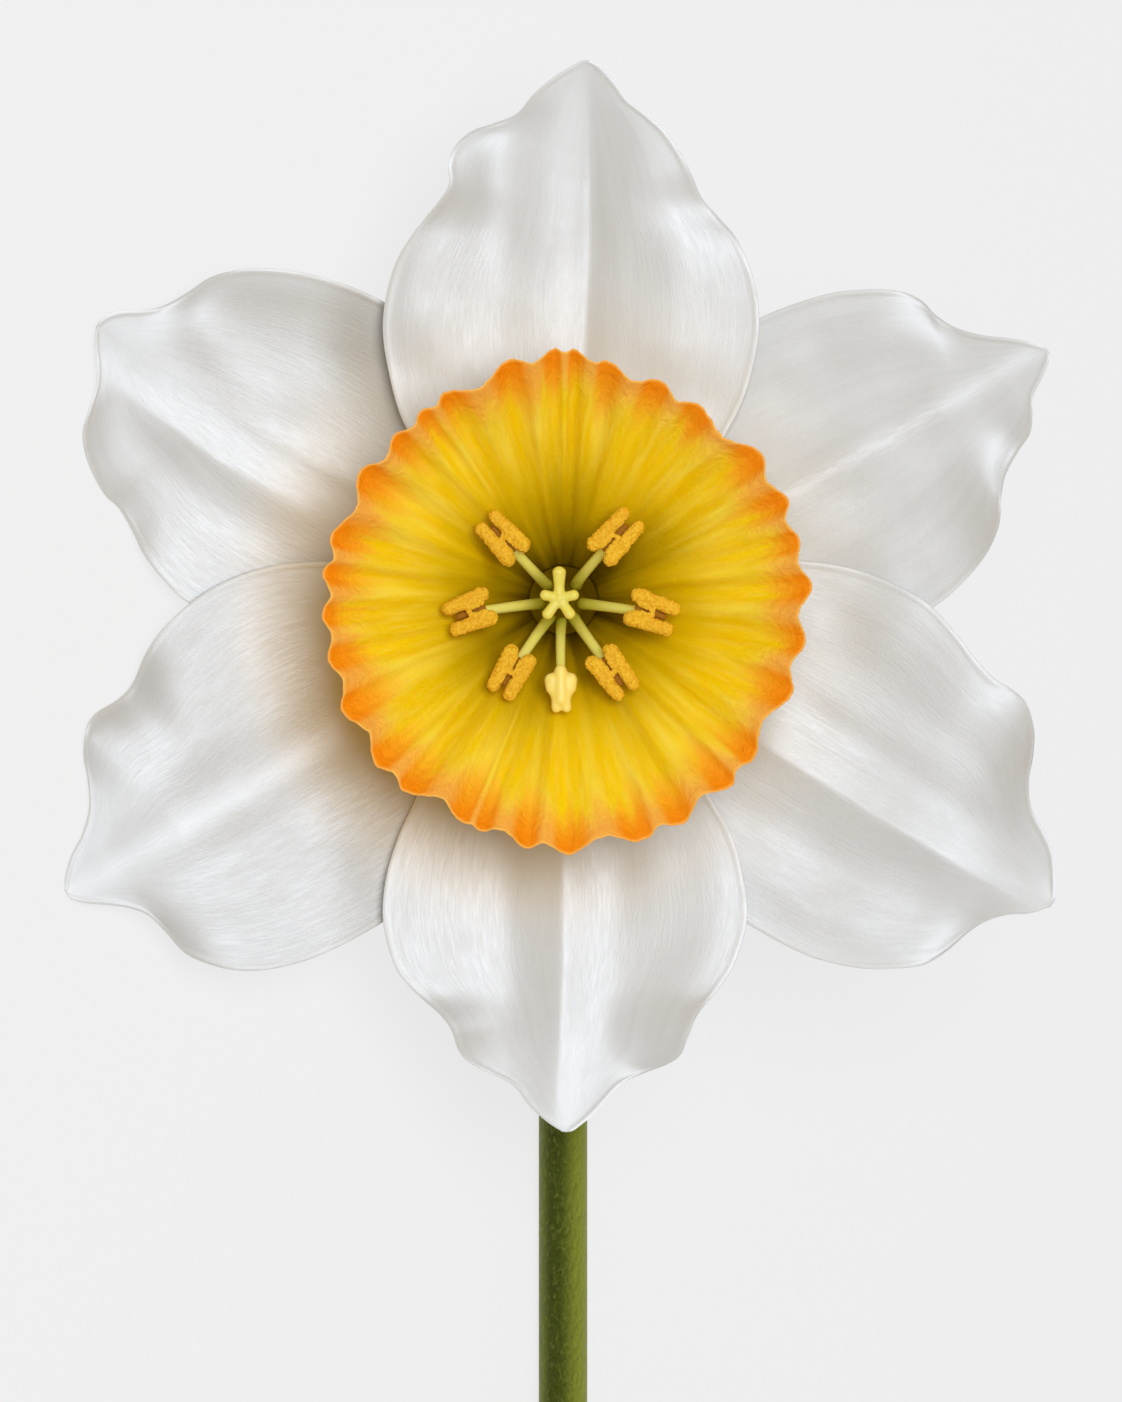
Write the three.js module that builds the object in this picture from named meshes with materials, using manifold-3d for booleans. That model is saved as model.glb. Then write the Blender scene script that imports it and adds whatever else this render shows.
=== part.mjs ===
// A narcissus flower on its cut stem, in millimetres, +Z up, lying as it would on a table.
//
// The flower is drawn in its own frame: its face looks along +Z, its stem hangs along -Y, and
// the throat of the cup is the origin. One turned group then lays it down: the stem flat on
// the ground, and the flower leaning on the tips of its two left-hand petals.

import * as THREE from 'three';
import { mergeVertices } from 'three/addons/utils/BufferGeometryUtils.js';
import Module from 'manifold-3d';

const wasm = await Module();
wasm.setup();

// ---------------------------------------------------------------- driving dimensions

const LEAN = THREE.MathUtils.degToRad(33.7); // how far the lying flower leans to its left
const EYE = { x: -0.2, y: -9.4, z: 545 }; // petal outlines are as seen from here
const GAP = 0.3; // air left between neighbouring pieces

const STEM = { radius: 2.42, top: -24, cutEnd: -150, depth: 26.6 };
const PEDICEL = { radius: 1.9, bend: 8, top: -20.5 };
const OVARY = { radius: 3.4, top: -12.9, bottom: -20.2 };
const TUBE = { top: 0.2, collar: 4.7, collarFoot: -4.4, foot: -12.6, mouth: 3.6, floor: -11.2 };
const CUP = { wall: 0.7, foot: 0.5, fluteStart: 5, scallop: 0.08, dip: 0.45, centre: [0.27, -0.3] };
const PETAL = { thickness: 0.7, root: 5.3, bowl: 1.7, layerStep: 1.6, foldFade: 7 };
const STAMEN = { root: 2.3, rootHeight: -5, height: 9.3, thick: 0.55, centre: [-0.37, 0] };

// ---------------------------------------------------------------- finishes

const finish = (color, roughness) => new THREE.MeshStandardMaterial({ color, roughness });
const WHITE_PETAL = finish(0xeeeeea, 0.45);
const ORANGE_CUP = finish(0xee9416, 0.5);
const GREEN_STEM = finish(0x7f8f33, 0.4);
const GREEN_OVARY = finish(0x66802c, 0.4);
const PALE_TUBE = finish(0xd4dba0, 0.45);
const DRY_SPATHE = finish(0xb08d5a, 0.7);
const PALE_GREEN = finish(0xc6c860, 0.45);
const POLLEN = finish(0xd9a022, 0.85);
const CREAM = finish(0xe2d684, 0.5);

// ---------------------------------------------------------------- the six petals

// Each petal lies along its axis, in degrees round the flower from the right. left and right
// list its two margins as seen from EYE, from root to tip, each point [along the axis,
// sideways]. layer counts back from the foremost pair, rise is how far the tip leans forward.
// folds are lengthwise: [height, half width, sharpness, its line], where a sharpness of 1 is a
// crease and 2 a soft round fold. ruffles are waves of the margin: [side, place along, length,
// height].
const PETALS = [
  {
    name: 'tepal_top', axis: 87.6, layer: 0, rise: 3.6,
    left: [[4.5, 2.7], [7, 6.2], [10, 10.4], [13, 13.4], [16, 15.6], [20, 17], [25, 17.9],
      [30, 17.2], [33.5, 15.5], [37, 12.9], [38.6, 12.2], [40.2, 12.4], [42, 11.8],
      [43.4, 10.3], [44.2, 8.3], [45.2, 6.2], [47, 4.8], [48.7, 3], [50, 1.1], [50.4, 0.35]],
    right: [[4.5, -2.7], [7, -6.2], [10, -10.3], [13, -12.9], [16.3, -14.6], [20, -16.2],
      [25.5, -17.2], [30, -16.7], [34, -15], [36.2, -13.1], [38, -11.4], [40, -10.4],
      [42, -9.3], [44, -7.8], [45.6, -5.9], [46.8, -4.2], [48.4, -2.9], [49.9, -1.4],
      [50.4, -0.35]],
    folds: [
      [-0.8, 3.4, 1.5, [[17, 0.8], [33, 0], [52, 0]]],
      [-0.5, 2.4, 2, [[32, 7.6], [42, 6.8], [48, 4.6]]],
      [0.6, 3, 2, [[18, 13.4], [30, 13.2], [40, 11]]],
      [-0.3, 2.6, 2, [[22, -11], [36, -10.4], [44, -7]]],
    ],
    ruffles: [[1, 0.7, 0.06, 1], [1, 0.84, 0.06, -1.2], [-1, 0.68, 0.06, -1]],
  },
  {
    name: 'tepal_upper_left', axis: 150.4, layer: 2, rise: 4,
    left: [[4.5, 2.7], [7, 6.2], [10, 10.2], [14, 13.8], [19, 16.2], [25, 17.5], [30.2, 17.5],
      [33, 16.9], [36, 15.7], [38.2, 14.2], [40.3, 13], [42, 12.6], [44, 11.4], [45.6, 10],
      [46.7, 8.4], [47.2, 6.4], [47.7, 4.3], [48.6, 2.6], [49.8, 0.9], [50.4, -0.4]],
    right: [[4.5, -2.7], [7, -6.2], [10, -10], [14, -13.2], [19, -15.2], [25, -15.9],
      [30, -15.85], [34, -15.2], [37, -14.3], [40, -12.9], [42, -11.5], [43.6, -9.8],
      [44.7, -7.6], [46, -5.5], [47.4, -4.3], [49, -3.3], [50.1, -2.2], [50.5, -1.1]],
    folds: [
      [0.6, 2.4, 2, [[20, 5], [34, 4.8], [48, 3.2]]],
      [0.5, 3.2, 2, [[32, 13.6], [40, 12.6], [46, 9.6]]],
      [0.4, 3, 2, [[22, -4], [38, -3.6], [47, -2.4]]],
    ],
    ruffles: [[1, 0.68, 0.06, -0.8], [1, 0.86, 0.07, 1], [-1, 0.86, 0.06, -1]],
  },
  {
    name: 'tepal_lower_left', axis: 210.6, layer: 1, rise: 3.82,
    left: [[4.5, 2.7], [7, 6.2], [10, 10], [14, 13.4], [19, 15.8], [25, 17], [31, 17.3],
      [36, 17], [39, 16.4], [42, 15.3], [44.2, 13.9], [46, 12.1], [47.2, 10.2], [47.7, 7.7],
      [48.3, 5.6], [49.5, 4.1], [51, 2.9], [52.7, 1.7], [53.6, 0.8], [53.8, 0.3]],
    right: [[4.5, -2.7], [7, -6.2], [10, -9.8], [13, -12.2], [17, -14.3], [21, -16.3],
      [25, -17.4], [29, -17.6], [33, -16.9], [36, -15.6], [38.5, -13.8], [40.4, -13.2],
      [43, -13.1], [44.6, -12.1], [45.9, -10.3], [46.7, -8.2], [47.9, -5.9], [49.7, -4.1],
      [51.6, -2.9], [53.1, -1.5], [53.8, -0.4]],
    folds: [
      [0.8, 2.4, 1.5, [[18, 0], [34, 0.4], [52, 0.2]]],
      [-0.4, 2.6, 2, [[24, 6], [36, 7], [48, 5]]],
      [-0.4, 3, 2, [[28, -8.6], [38, -8.2], [47, -6]]],
      [0.4, 2.4, 2, [[28, 13], [38, 12.6], [46, 9]]],
    ],
    ruffles: [[-1, 0.66, 0.05, -0.9], [-1, 0.75, 0.05, 0.9], [1, 0.84, 0.06, -0.9]],
  },
  {
    name: 'tepal_bottom', axis: 270.5, layer: 0, rise: 3.6,
    left: [[4.5, 2.7], [7, 6], [10, 9], [14, 11.6], [18, 13.3], [22, 15.5], [26, 16.6],
      [30, 16.9], [34, 15.7], [36.5, 14.1], [38.7, 12.2], [41, 11.2], [42.5, 10.6],
      [43.4, 9.3], [44.1, 7.4], [45.1, 5.2], [46.6, 3.7], [48.1, 2.3], [49.3, 0.8],
      [49.6, 0.25]],
    right: [[4.5, -2.7], [7, -6], [10, -9.2], [14, -12.1], [18.4, -13.9], [22, -15.6],
      [26, -16.8], [30, -17.05], [34, -16], [36.3, -14.3], [38.5, -11.9], [40, -10.8],
      [41.8, -10.2], [43, -9.2], [44, -7.4], [45.2, -5.1], [47.1, -3.6], [48.6, -2],
      [49.6, -0.5]],
    folds: [
      [0.6, 2, 1.5, [[18, -0.6], [34, -0.9], [50, -0.8]]],
      [-0.5, 3, 2, [[20, 4.6], [36, 4.8], [46, 3]]],
      [-0.3, 2.2, 2, [[20, -5], [36, -4.6], [46, -2.6]]],
      [0.5, 3.6, 2, [[18, -13], [34, -12.6], [42, -9.6]]],
    ],
    ruffles: [[1, 0.74, 0.05, 0.9], [1, 0.84, 0.05, -0.8], [-1, 0.74, 0.05, -0.9]],
  },
  {
    name: 'tepal_lower_right', axis: 328.2, layer: 1, rise: 4,
    left: [[4.5, 2.7], [7, 6.2], [10, 9.8], [13, 12.4], [17.1, 14.9], [21, 16.6], [25, 17.5],
      [29, 17.7], [33, 16.6], [35.6, 15.6], [38, 15], [40, 15], [41.8, 14.6], [43.5, 13.1],
      [44.7, 11], [45.7, 8.7], [47.3, 6.6], [49.5, 5.3], [51.2, 4.1], [52.6, 2.3],
      [53.7, 0.5]],
    right: [[4.5, -2.7], [7, -6.2], [10, -10], [14, -13.4], [19, -15.6], [25, -16.4],
      [31, -16.6], [36, -16.3], [39, -15.6], [42, -14.4], [44.4, -12.9], [46.5, -11.2],
      [47.7, -8.9], [48.4, -6.6], [49.3, -4.7], [50.7, -3.1], [52.4, -1.9], [53.7, -0.4]],
    folds: [
      [0.8, 2.2, 1.5, [[17, -0.6], [34, -0.8], [52, -0.4]]],
      [-0.35, 2.4, 2, [[24, -7], [36, -7.4], [48, -5]]],
      [0.4, 3, 2, [[28, -13.6], [40, -13], [47, -9]]],
      [0.3, 3, 2, [[28, 8.4], [40, 8], [48, 5]]],
    ],
    ruffles: [[1, 0.68, 0.06, -0.8], [1, 0.8, 0.06, 1], [-1, 0.86, 0.06, -1]],
  },
  {
    name: 'tepal_upper_right', axis: 27.3, layer: 2, rise: 4,
    left: [[4.5, 2.7], [7, 6.2], [10, 9.8], [14, 12.8], [19, 14.6], [25, 15], [30, 14.9],
      [35, 14.1], [38, 13], [40, 12], [41.6, 10.8], [42.6, 9.4], [43.1, 7.7], [44.3, 5.7],
      [46.2, 4], [48, 2.8], [49.6, 1.6], [50.8, 0.4]],
    right: [[4.5, -2.7], [7, -6.2], [10, -10], [14, -13.4], [19, -15.8], [25, -16.6],
      [30.6, -16.4], [34, -15.6], [37, -14.3], [39.3, -12.4], [40.6, -10.4], [42, -8.6],
      [44, -7.2], [45.8, -6.2], [46.8, -4.8], [47.6, -3.3], [49.2, -2.1], [50.4, -1.1],
      [50.9, -0.4]],
    folds: [
      [0.8, 2.5, 1.5, [[17, -0.4], [34, -0.6], [50, -0.2]]],
      [-0.4, 3, 2, [[26, 7], [38, 6], [47, 4]]],
      [-0.3, 2.6, 2, [[26, -6], [38, -6], [47, -4]]],
      [0.3, 3, 2, [[28, 12.6], [36, 11.6], [42, 9]]],
    ],
    ruffles: [[1, 0.82, 0.06, -0.9], [-1, 0.72, 0.06, 0.8], [-1, 0.84, 0.05, -1]],
  },
];

// ---------------------------------------------------------------- the cup and its organs

// The cup's inner face from foot to rim, [radius, height].
const CUP_INSIDE = [[3.8, CUP.foot], [5.2, 2.4], [8.2, 5.2], [12.2, 8.5], [16.6, 12.1],
  [19.9, 15.3], [21.9, 17.6]];

// The crests of the cup's scalloped outer edge: [degrees round the cup, radius].
const RIM_CRESTS = [[3.5, 22.3], [14.4, 21.8], [24.7, 22], [36.7, 22.1], [55.9, 21.3],
  [66.6, 21.6], [79.8, 21.9], [88, 22.7], [92.4, 22.8], [103.3, 22.3], [120.8, 21.7],
  [127.2, 21.6], [135.8, 21.5], [148, 22], [164.8, 22], [173.6, 22.1], [183.7, 22.1],
  [193.8, 22.2], [206.2, 22.6], [221.1, 22.8], [229.6, 22.7], [245.4, 22.2], [248.9, 22.2],
  [260.4, 22.7], [270.1, 23], [287.9, 22.8], [297.3, 22.8], [311.5, 22.5], [319.3, 22.2],
  [337.9, 22.1], [349.7, 21.9]];

// The six fertile stamens round the style: [degrees, distance of the anther from the middle].
const ANTHERS = [[47.4, 7.7], [133, 7.6], [188.9, 8.3], [237, 8.1], [306.1, 8.4], [351.3, 8.6]];
const PALE_STAMEN = { angle: 271.2, reach: 8.3, thick: 0.5 };

// The lobes of the stigma: [degrees, length, end radius].
const STIGMA_LOBES = [[90, 2.5, 0.64], [167, 1.5, 0.5], [233.5, 1.9, 0.5], [305, 1.9, 0.5],
  [13, 1.5, 0.5]];

// ---------------------------------------------------------------- shared helpers

const radians = THREE.MathUtils.degToRad;
const smooth = (x, from, to) => THREE.MathUtils.smoothstep(x, from, to);

// The same surface seen from EYE: a point drawn at height 0 moves along its line of sight.
function alongSight(x, y, z) {
  const k = 1 - z / EYE.z;
  return new THREE.Vector3(EYE.x + (x - EYE.x) * k, EYE.y + (y - EYE.y) * k, z);
}

function polar(angle, radius, z = 0) {
  return new THREE.Vector3(Math.cos(angle) * radius, Math.sin(angle) * radius, z);
}

// Moves every vertex of a geometry by place(x, y, z), which returns a Vector3.
function reshape(geometry, place) {
  const position = geometry.attributes.position;
  for (let i = 0; i < position.count; i += 1) {
    const p = place(position.getX(i), position.getY(i), position.getZ(i));
    position.setXYZ(i, p.x, p.y, p.z);
  }
  return geometry;
}

// Gives the chosen squares of an indexed grid their other diagonal, so that the two faces of
// a thin wall are split alike. isChosen gets the number of the square.
function turnDiagonals(geometry, isChosen) {
  const index = geometry.index;
  for (let q = 0; q < index.count / 6; q += 1) {
    if (isChosen(q)) {
      const at = q * 6;
      const [a, b, d] = [index.getX(at), index.getX(at + 1), index.getX(at + 2)];
      const c = [3, 4, 5].map((k) => index.getX(at + k)).find((k) => k !== b && k !== d);
      [a, b, c, a, c, d].forEach((value, k) => index.setX(at + k, value));
    }
  }
  return geometry;
}

// Leaves only positions and welds the seams, so that the surface is one closed skin.
function welded(geometry) {
  geometry.deleteAttribute('normal');
  geometry.deleteAttribute('uv');
  return mergeVertices(geometry, 1e-4);
}

function piece(name, geometry, material) {
  const skin = welded(geometry);
  skin.computeVertexNormals();
  const mesh = new THREE.Mesh(skin, material);
  mesh.name = name;
  return mesh;
}

// Joins closed geometries into one.
function joined(geometries) {
  const solids = geometries.map((geometry) => {
    const skin = welded(geometry);
    const mesh = new wasm.Mesh({
      numProp: 3,
      vertProperties: new Float32Array(skin.attributes.position.array),
      triVerts: new Uint32Array(skin.index.array),
    });
    return new wasm.Manifold(mesh);
  });
  const whole = solids.reduce((sum, solid) => sum.add(solid)).getMesh();
  const geometry = new THREE.BufferGeometry();
  geometry.setAttribute('position', new THREE.BufferAttribute(whole.vertProperties, 3));
  geometry.setIndex(new THREE.BufferAttribute(whole.triVerts, 1));
  return geometry;
}

// A cylinder bent along a curve; radiusAt gives its radius at a share of the way along.
function bentRod(curve, radiusAt, sides, steps) {
  const frames = curve.computeFrenetFrames(steps, false);
  const rod = new THREE.CylinderGeometry(1, 1, steps, sides, steps);
  return reshape(rod, (x, y, z) => {
    const step = Math.round(y + steps / 2);
    const radius = radiusAt(step / steps);
    return curve.getPointAt(step / steps)
      .addScaledVector(frames.normals[step], x * radius)
      .addScaledVector(frames.binormals[step], -z * radius);
  });
}

// An egg-shaped lobe: long along its own X, turned by angle about Z, and set at centre.
function lobe(centre, halfSizes, angle = 0) {
  const egg = new THREE.SphereGeometry(1, 6, 4);
  egg.rotateZ(Math.PI / 2);
  egg.scale(...halfSizes);
  egg.rotateZ(angle);
  egg.translate(centre.x, centre.y, centre.z);
  return egg;
}

// A closed ring or vessel turned about Z from its profile of [radius, height] points.
function turned(profile, segments) {
  const points = profile.map(([r, z]) => new THREE.Vector2(r, z));
  return new THREE.LatheGeometry(points, segments).rotateX(Math.PI / 2);
}

// ---------------------------------------------------------------- petals

function marginCurve(points) {
  const path = points.map(([along, across]) => new THREE.Vector3(along, across, 0));
  return new THREE.CatmullRomCurve3(path, false, 'catmullrom', 0.5);
}

// How far sideways a line of [along, sideways] points runs at a place along it.
function lineAt(line, along) {
  const next = line.findIndex(([place]) => place >= along);
  if (next <= 0) {
    return next === 0 ? line[0][1] : line.at(-1)[1];
  }
  const [[start, from], [end, to]] = [line[next - 1], line[next]];
  return THREE.MathUtils.mapLinear(along, start, end, from, to);
}

// How much the folds raise a petal at a place along its axis and sideways.
function foldHeight(petal, along, across) {
  let total = 0;
  for (const [height, width, sharpness, line] of petal.folds) {
    const start = line[0][0];
    const aside = Math.abs(across - lineAt(line, along)) / width;
    total += height * smooth(along, start, start + PETAL.foldFade)
      * Math.exp(-(aside ** sharpness));
  }
  return total;
}

// Height of a petal's front face above the throat.
function petalHeight(petal, flat, u, v) {
  const share = THREE.MathUtils.clamp(
    (flat.length() - PETAL.root) / (petal.reach - PETAL.root), 0, 1);
  const taper = Math.min(1, 4 * (1 - v));
  let z = petal.rise * share ** PETAL.bowl - petal.layer * PETAL.layerStep;
  z += foldHeight(petal, flat.x, flat.y) * taper;
  for (const [side, place, length, height] of petal.ruffles) {
    if (side * u > 0) {
      z += height * taper * Math.abs(u) ** 3 * Math.exp(-(((v - place) / length) ** 2));
    }
  }
  return z;
}

// A point of a petal's front face: u from -1, its right margin, to 1, its left; v from root
// to tip.
function petalPoint(petal, u, v) {
  const edge = (u < 0 ? petal.rightCurve : petal.leftCurve).getPointAt(v);
  const rib = new THREE.Vector3(THREE.MathUtils.lerp(PETAL.root, petal.tip.x, v),
    petal.tip.y * smooth(v, 0.6, 1), 0);
  const flat = rib.lerp(edge, Math.abs(u));
  const angle = radians(petal.axis);
  const x = flat.x * Math.cos(angle) - flat.y * Math.sin(angle);
  const y = flat.x * Math.sin(angle) + flat.y * Math.cos(angle);
  return alongSight(x, y, petalHeight(petal, flat, u, v));
}

function petalNormal(petal, u, v) {
  const h = 0.01;
  const [u0, u1] = [Math.max(u - h, -1), Math.min(u + h, 1)];
  const [v0, v1] = [Math.max(v - h, 0), Math.min(v + h, 1)];
  const across = petalPoint(petal, u1, v).sub(petalPoint(petal, u0, v));
  const along = petalPoint(petal, u, v1).sub(petalPoint(petal, u, v0));
  return along.cross(across).normalize();
}

function makePetal(outline) {
  const [columns, rows] = [12, 18];
  const petal = { ...outline };
  petal.leftCurve = marginCurve(petal.left);
  petal.rightCurve = marginCurve(petal.right);
  petal.tip = petal.leftCurve.getPoint(1).lerp(petal.rightCurve.getPoint(1), 0.5);
  petal.reach = petal.tip.length();
  const slab = new THREE.BoxGeometry(2, 1, 1, columns, rows, 1);
  const faceSquares = columns * rows;
  const backStart = slab.index.count / 6 - faceSquares;
  turnDiagonals(slab, (square) => square >= backStart);
  reshape(slab, (x, y, z) => {
    const u = -Math.sign(x) * Math.abs(x) ** 1.1;
    const v = 1 - (0.5 - y) ** 1.25;
    const front = petalPoint(petal, u, v);
    return z > 0 ? front : front.addScaledVector(petalNormal(petal, u, v), -PETAL.thickness);
  });
  return piece(petal.name, slab, WHITE_PETAL);
}

// ---------------------------------------------------------------- the cup

// Radius of the scalloped rim at an angle in degrees: the edge sags inwards between crests.
function rimRadius(degrees) {
  const count = RIM_CRESTS.length;
  for (let i = 0; i < count; i += 1) {
    const [start, from] = RIM_CRESTS[i];
    const [end, to] = RIM_CRESTS[(i + 1) % count];
    const span = (end - start + 360) % 360;
    const share = ((degrees - start + 360) % 360) / span;
    if (share <= 1) {
      const sag = Math.min(CUP.scallop * span, 1.5) * Math.sin(Math.PI * share) ** 1.4;
      return THREE.MathUtils.lerp(from, to, share) - sag;
    }
  }
  return RIM_CRESTS[0][1];
}

function makeCup() {
  const segments = 120;
  const rimHeight = CUP_INSIDE.at(-1)[1];
  const outside = CUP_INSIDE.map(([r, z], i) => {
    const [r0, z0] = CUP_INSIDE[Math.max(i - 1, 0)];
    const [r1, z1] = CUP_INSIDE[Math.min(i + 1, CUP_INSIDE.length - 1)];
    const run = Math.hypot(r1 - r0, z1 - z0);
    const down = i === 0 ? 0 : CUP.wall * (r1 - r0) / run;
    return [r + CUP.wall * (z1 - z0) / run, z - down];
  });
  const edgeRadius = outside.at(-1)[0];
  const profile = [...outside, ...CUP_INSIDE.toReversed(), outside[0]];
  const shell = turned(profile, segments);
  const perColumn = profile.length - 1;
  turnDiagonals(shell, (square) => square % perColumn < outside.length - 1);
  reshape(shell, (x, y, z) => {
    const radius = Math.hypot(x, y);
    const angle = Math.atan2(y, x);
    const degrees = (THREE.MathUtils.radToDeg(angle) + 360) % 360;
    const height = (z - CUP.fluteStart) / (rimHeight - CUP.fluteStart);
    const flute = Math.max(height, 0) ** 1.6;
    const wave = (rimRadius(degrees) - edgeRadius) * flute;
    const moved = polar(angle, radius + wave, z - CUP.dip * wave);
    const shift = Math.max(z / rimHeight, 0);
    moved.x += CUP.centre[0] * shift;
    moved.y += CUP.centre[1] * shift;
    return moved;
  });
  return piece('corona', shell, ORANGE_CUP);
}

// ---------------------------------------------------------------- stamens, style, stigma

function organPoint(degrees, radius, z) {
  const share = smooth(z, TUBE.floor, STAMEN.height);
  const point = polar(radians(degrees), radius, z);
  point.x += STAMEN.centre[0] * share;
  point.y += STAMEN.centre[1] * share;
  return point;
}

function filamentCurve(degrees, reach, top) {
  return new THREE.CatmullRomCurve3([
    organPoint(degrees, STAMEN.root, STAMEN.rootHeight),
    organPoint(degrees, STAMEN.root + 0.1, 0),
    organPoint(degrees, 0.55 * reach, 0.55 * top),
    organPoint(degrees, reach, top),
  ]);
}

function makeFilament(name, degrees, reach, top, thick) {
  const rod = bentRod(filamentCurve(degrees, reach, top), (t) => thick * (1 - 0.2 * t), 7, 8);
  return piece(name, rod, PALE_GREEN);
}

// One anther: two long lobes side by side, two short ones at the inner end, and the bridge.
function makeAnther(name, degrees, reach) {
  const angle = radians(degrees);
  const at = (along, across, up) => {
    const offset = new THREE.Vector3(along, across, up).applyAxisAngle(UP, angle);
    return organPoint(degrees, reach, STAMEN.height).add(offset);
  };
  return piece(name, joined([
    lobe(at(0.2, 0.95, 0), [2.2, 0.95, 0.8], angle),
    lobe(at(0.2, -0.95, 0), [2.2, 0.95, 0.8], angle),
    lobe(at(-1.5, 0.62, 0.3), [1, 0.6, 0.65], angle),
    lobe(at(-1.5, -0.62, 0.3), [1, 0.6, 0.65], angle),
    lobe(at(-0.2, 0, 0.2), [1.3, 0.5, 0.7], angle),
  ]), POLLEN);
}

// The pale stamen below the style: a ringed knob, two ears and a stalk with two round feet.
function makePaleHead() {
  const { angle: degrees, reach } = PALE_STAMEN;
  const angle = radians(degrees);
  const at = (along, across, up) => {
    const offset = new THREE.Vector3(along, across, up).applyAxisAngle(UP, angle);
    return organPoint(degrees, reach, STAMEN.height - 0.4).add(offset);
  };
  return piece('pale_stamen_head', joined([
    lobe(at(-1.7, 0, 0), [0.75, 0.8, 0.65], angle),
    lobe(at(-0.5, 1.05, 0), [1.1, 0.55, 0.6], angle),
    lobe(at(-0.5, -1.05, 0), [1.1, 0.55, 0.6], angle),
    lobe(at(0, 0, 0.1), [1.9, 0.75, 0.7], angle),
    lobe(at(1.3, 0.6, 0), [0.95, 0.65, 0.6], angle),
    lobe(at(1.3, -0.6, 0), [0.95, 0.65, 0.6], angle),
  ]), CREAM);
}

function makeStyle() {
  const top = STAMEN.height - 1.1;
  const path = new THREE.LineCurve3(organPoint(0, 0, TUBE.floor + GAP), organPoint(0, 0, top));
  return piece('style', bentRod(path, () => 0.7, 10, 6), PALE_GREEN);
}

function makeStigma() {
  const hub = organPoint(0, 0, STAMEN.height);
  const lobes = STIGMA_LOBES.flatMap(([degrees, length, end]) => {
    const angle = radians(degrees);
    const middle = hub.clone().add(polar(angle, length / 2, 0.1));
    const tip = hub.clone().add(polar(angle, length, 0.2));
    return [
      lobe(middle, [length * 0.62, 0.45, 0.45], angle),
      lobe(tip, [end, end, end * 0.9], angle),
    ];
  });
  return piece('stigma', joined([lobe(hub, [0.85, 0.85, 0.7]), ...lobes]), PALE_GREEN);
}

// ---------------------------------------------------------------- behind the flower

// The hollow tube that the petals and the cup sit on, open at its mouth.
function makeTube() {
  return piece('perianth_tube', turned([
    [0, TUBE.foot], [2.6, TUBE.foot], [2.9, -10], [3.8, -6.6], [TUBE.collar, TUBE.collarFoot],
    [TUBE.collar, TUBE.top], [TUBE.mouth, TUBE.top], [3.3, -4], [2.4, -8], [1.9, TUBE.floor],
    [0, TUBE.floor],
  ], 20), PALE_TUBE);
}

function makeOvary() {
  const { radius, top, bottom } = OVARY;
  const middle = (top + bottom) / 2;
  return piece('ovary', turned([
    [0, bottom], [1.9, bottom], [0.88 * radius, bottom + 1.6], [radius, middle],
    [0.9 * radius, top - 1.8], [2.5, top], [0, top],
  ], 16), GREEN_OVARY);
}

// The flower stalk turns through a right angle from the ovary to the top of the stem.
function makePedicel() {
  const { bend, top } = PEDICEL;
  const path = new THREE.CurvePath();
  path.add(new THREE.QuadraticBezierCurve3(
    new THREE.Vector3(0, 0, top),
    new THREE.Vector3(0, 0, -STEM.depth),
    new THREE.Vector3(0, -bend, -STEM.depth),
  ));
  path.add(new THREE.LineCurve3(
    new THREE.Vector3(0, -bend, -STEM.depth),
    new THREE.Vector3(0, STEM.top + GAP, -STEM.depth),
  ));
  const points = path.getSpacedPoints(12);
  const curve = new THREE.CatmullRomCurve3(points);
  return piece('pedicel', bentRod(curve, () => PEDICEL.radius, 12, 12), GREEN_STEM);
}

function makeStem() {
  const path = new THREE.LineCurve3(
    new THREE.Vector3(0, STEM.cutEnd, -STEM.depth),
    new THREE.Vector3(0, STEM.top, -STEM.depth),
  );
  return piece('stem', bentRod(path, () => STEM.radius, 16, 10), GREEN_STEM);
}

// The dry papery sheath at the top of the stem: a tapering half tube beside the stalk.
function makeSpathe() {
  const [length, thickness, inner] = [34, 0.6, 2.5];
  const [columns, rows] = [8, 10];
  const slab = new THREE.BoxGeometry(2, 1, 1, columns, rows, 1);
  const backStart = slab.index.count / 6 - columns * rows;
  turnDiagonals(slab, (square) => square >= backStart);
  reshape(slab, (x, y, z) => {
    const share = y + 0.5;
    const halfWidth = radians(72) * Math.sqrt(1 - (0.93 * share) ** 2);
    const angle = radians(20 - 25 * share) + x * halfWidth;
    const radius = inner + 1.6 * Math.sin(share * 2.6) + (z > 0 ? 0 : thickness);
    const out = 2.2 * share * share;
    return new THREE.Vector3(Math.cos(angle) * radius + out, STEM.top + 2 + length * share,
      Math.sin(angle) * radius - STEM.depth);
  });
  return piece('spathe', slab, DRY_SPATHE);
}

// ---------------------------------------------------------------- assembly

const UP = new THREE.Vector3(0, 0, 1);
const flower = new THREE.Group();
flower.add(makeStem(), makePedicel(), makeSpathe(), makeOvary(), makeTube(), makeCup());
flower.add(...PETALS.map(makePetal));
ANTHERS.forEach(([degrees, reach], i) => {
  const underAnther = STAMEN.height - 0.8 - GAP;
  const seat = reach - 0.9;
  flower.add(makeFilament(`filament_${i + 1}`, degrees, seat, underAnther, STAMEN.thick));
  flower.add(makeAnther(`anther_${i + 1}`, degrees, reach));
});
flower.add(makeFilament('pale_stamen_filament', PALE_STAMEN.angle, PALE_STAMEN.reach - 1.6,
  STAMEN.height - 0.4 - 0.65 - GAP, PALE_STAMEN.thick));
flower.add(makePaleHead(), makeStyle(), makeStigma());

// Laid down: leaned about the stem's direction, with the stem's underside on the ground.
flower.rotation.y = -LEAN;
flower.position.z = STEM.radius + STEM.depth * Math.cos(LEAN);

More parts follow.
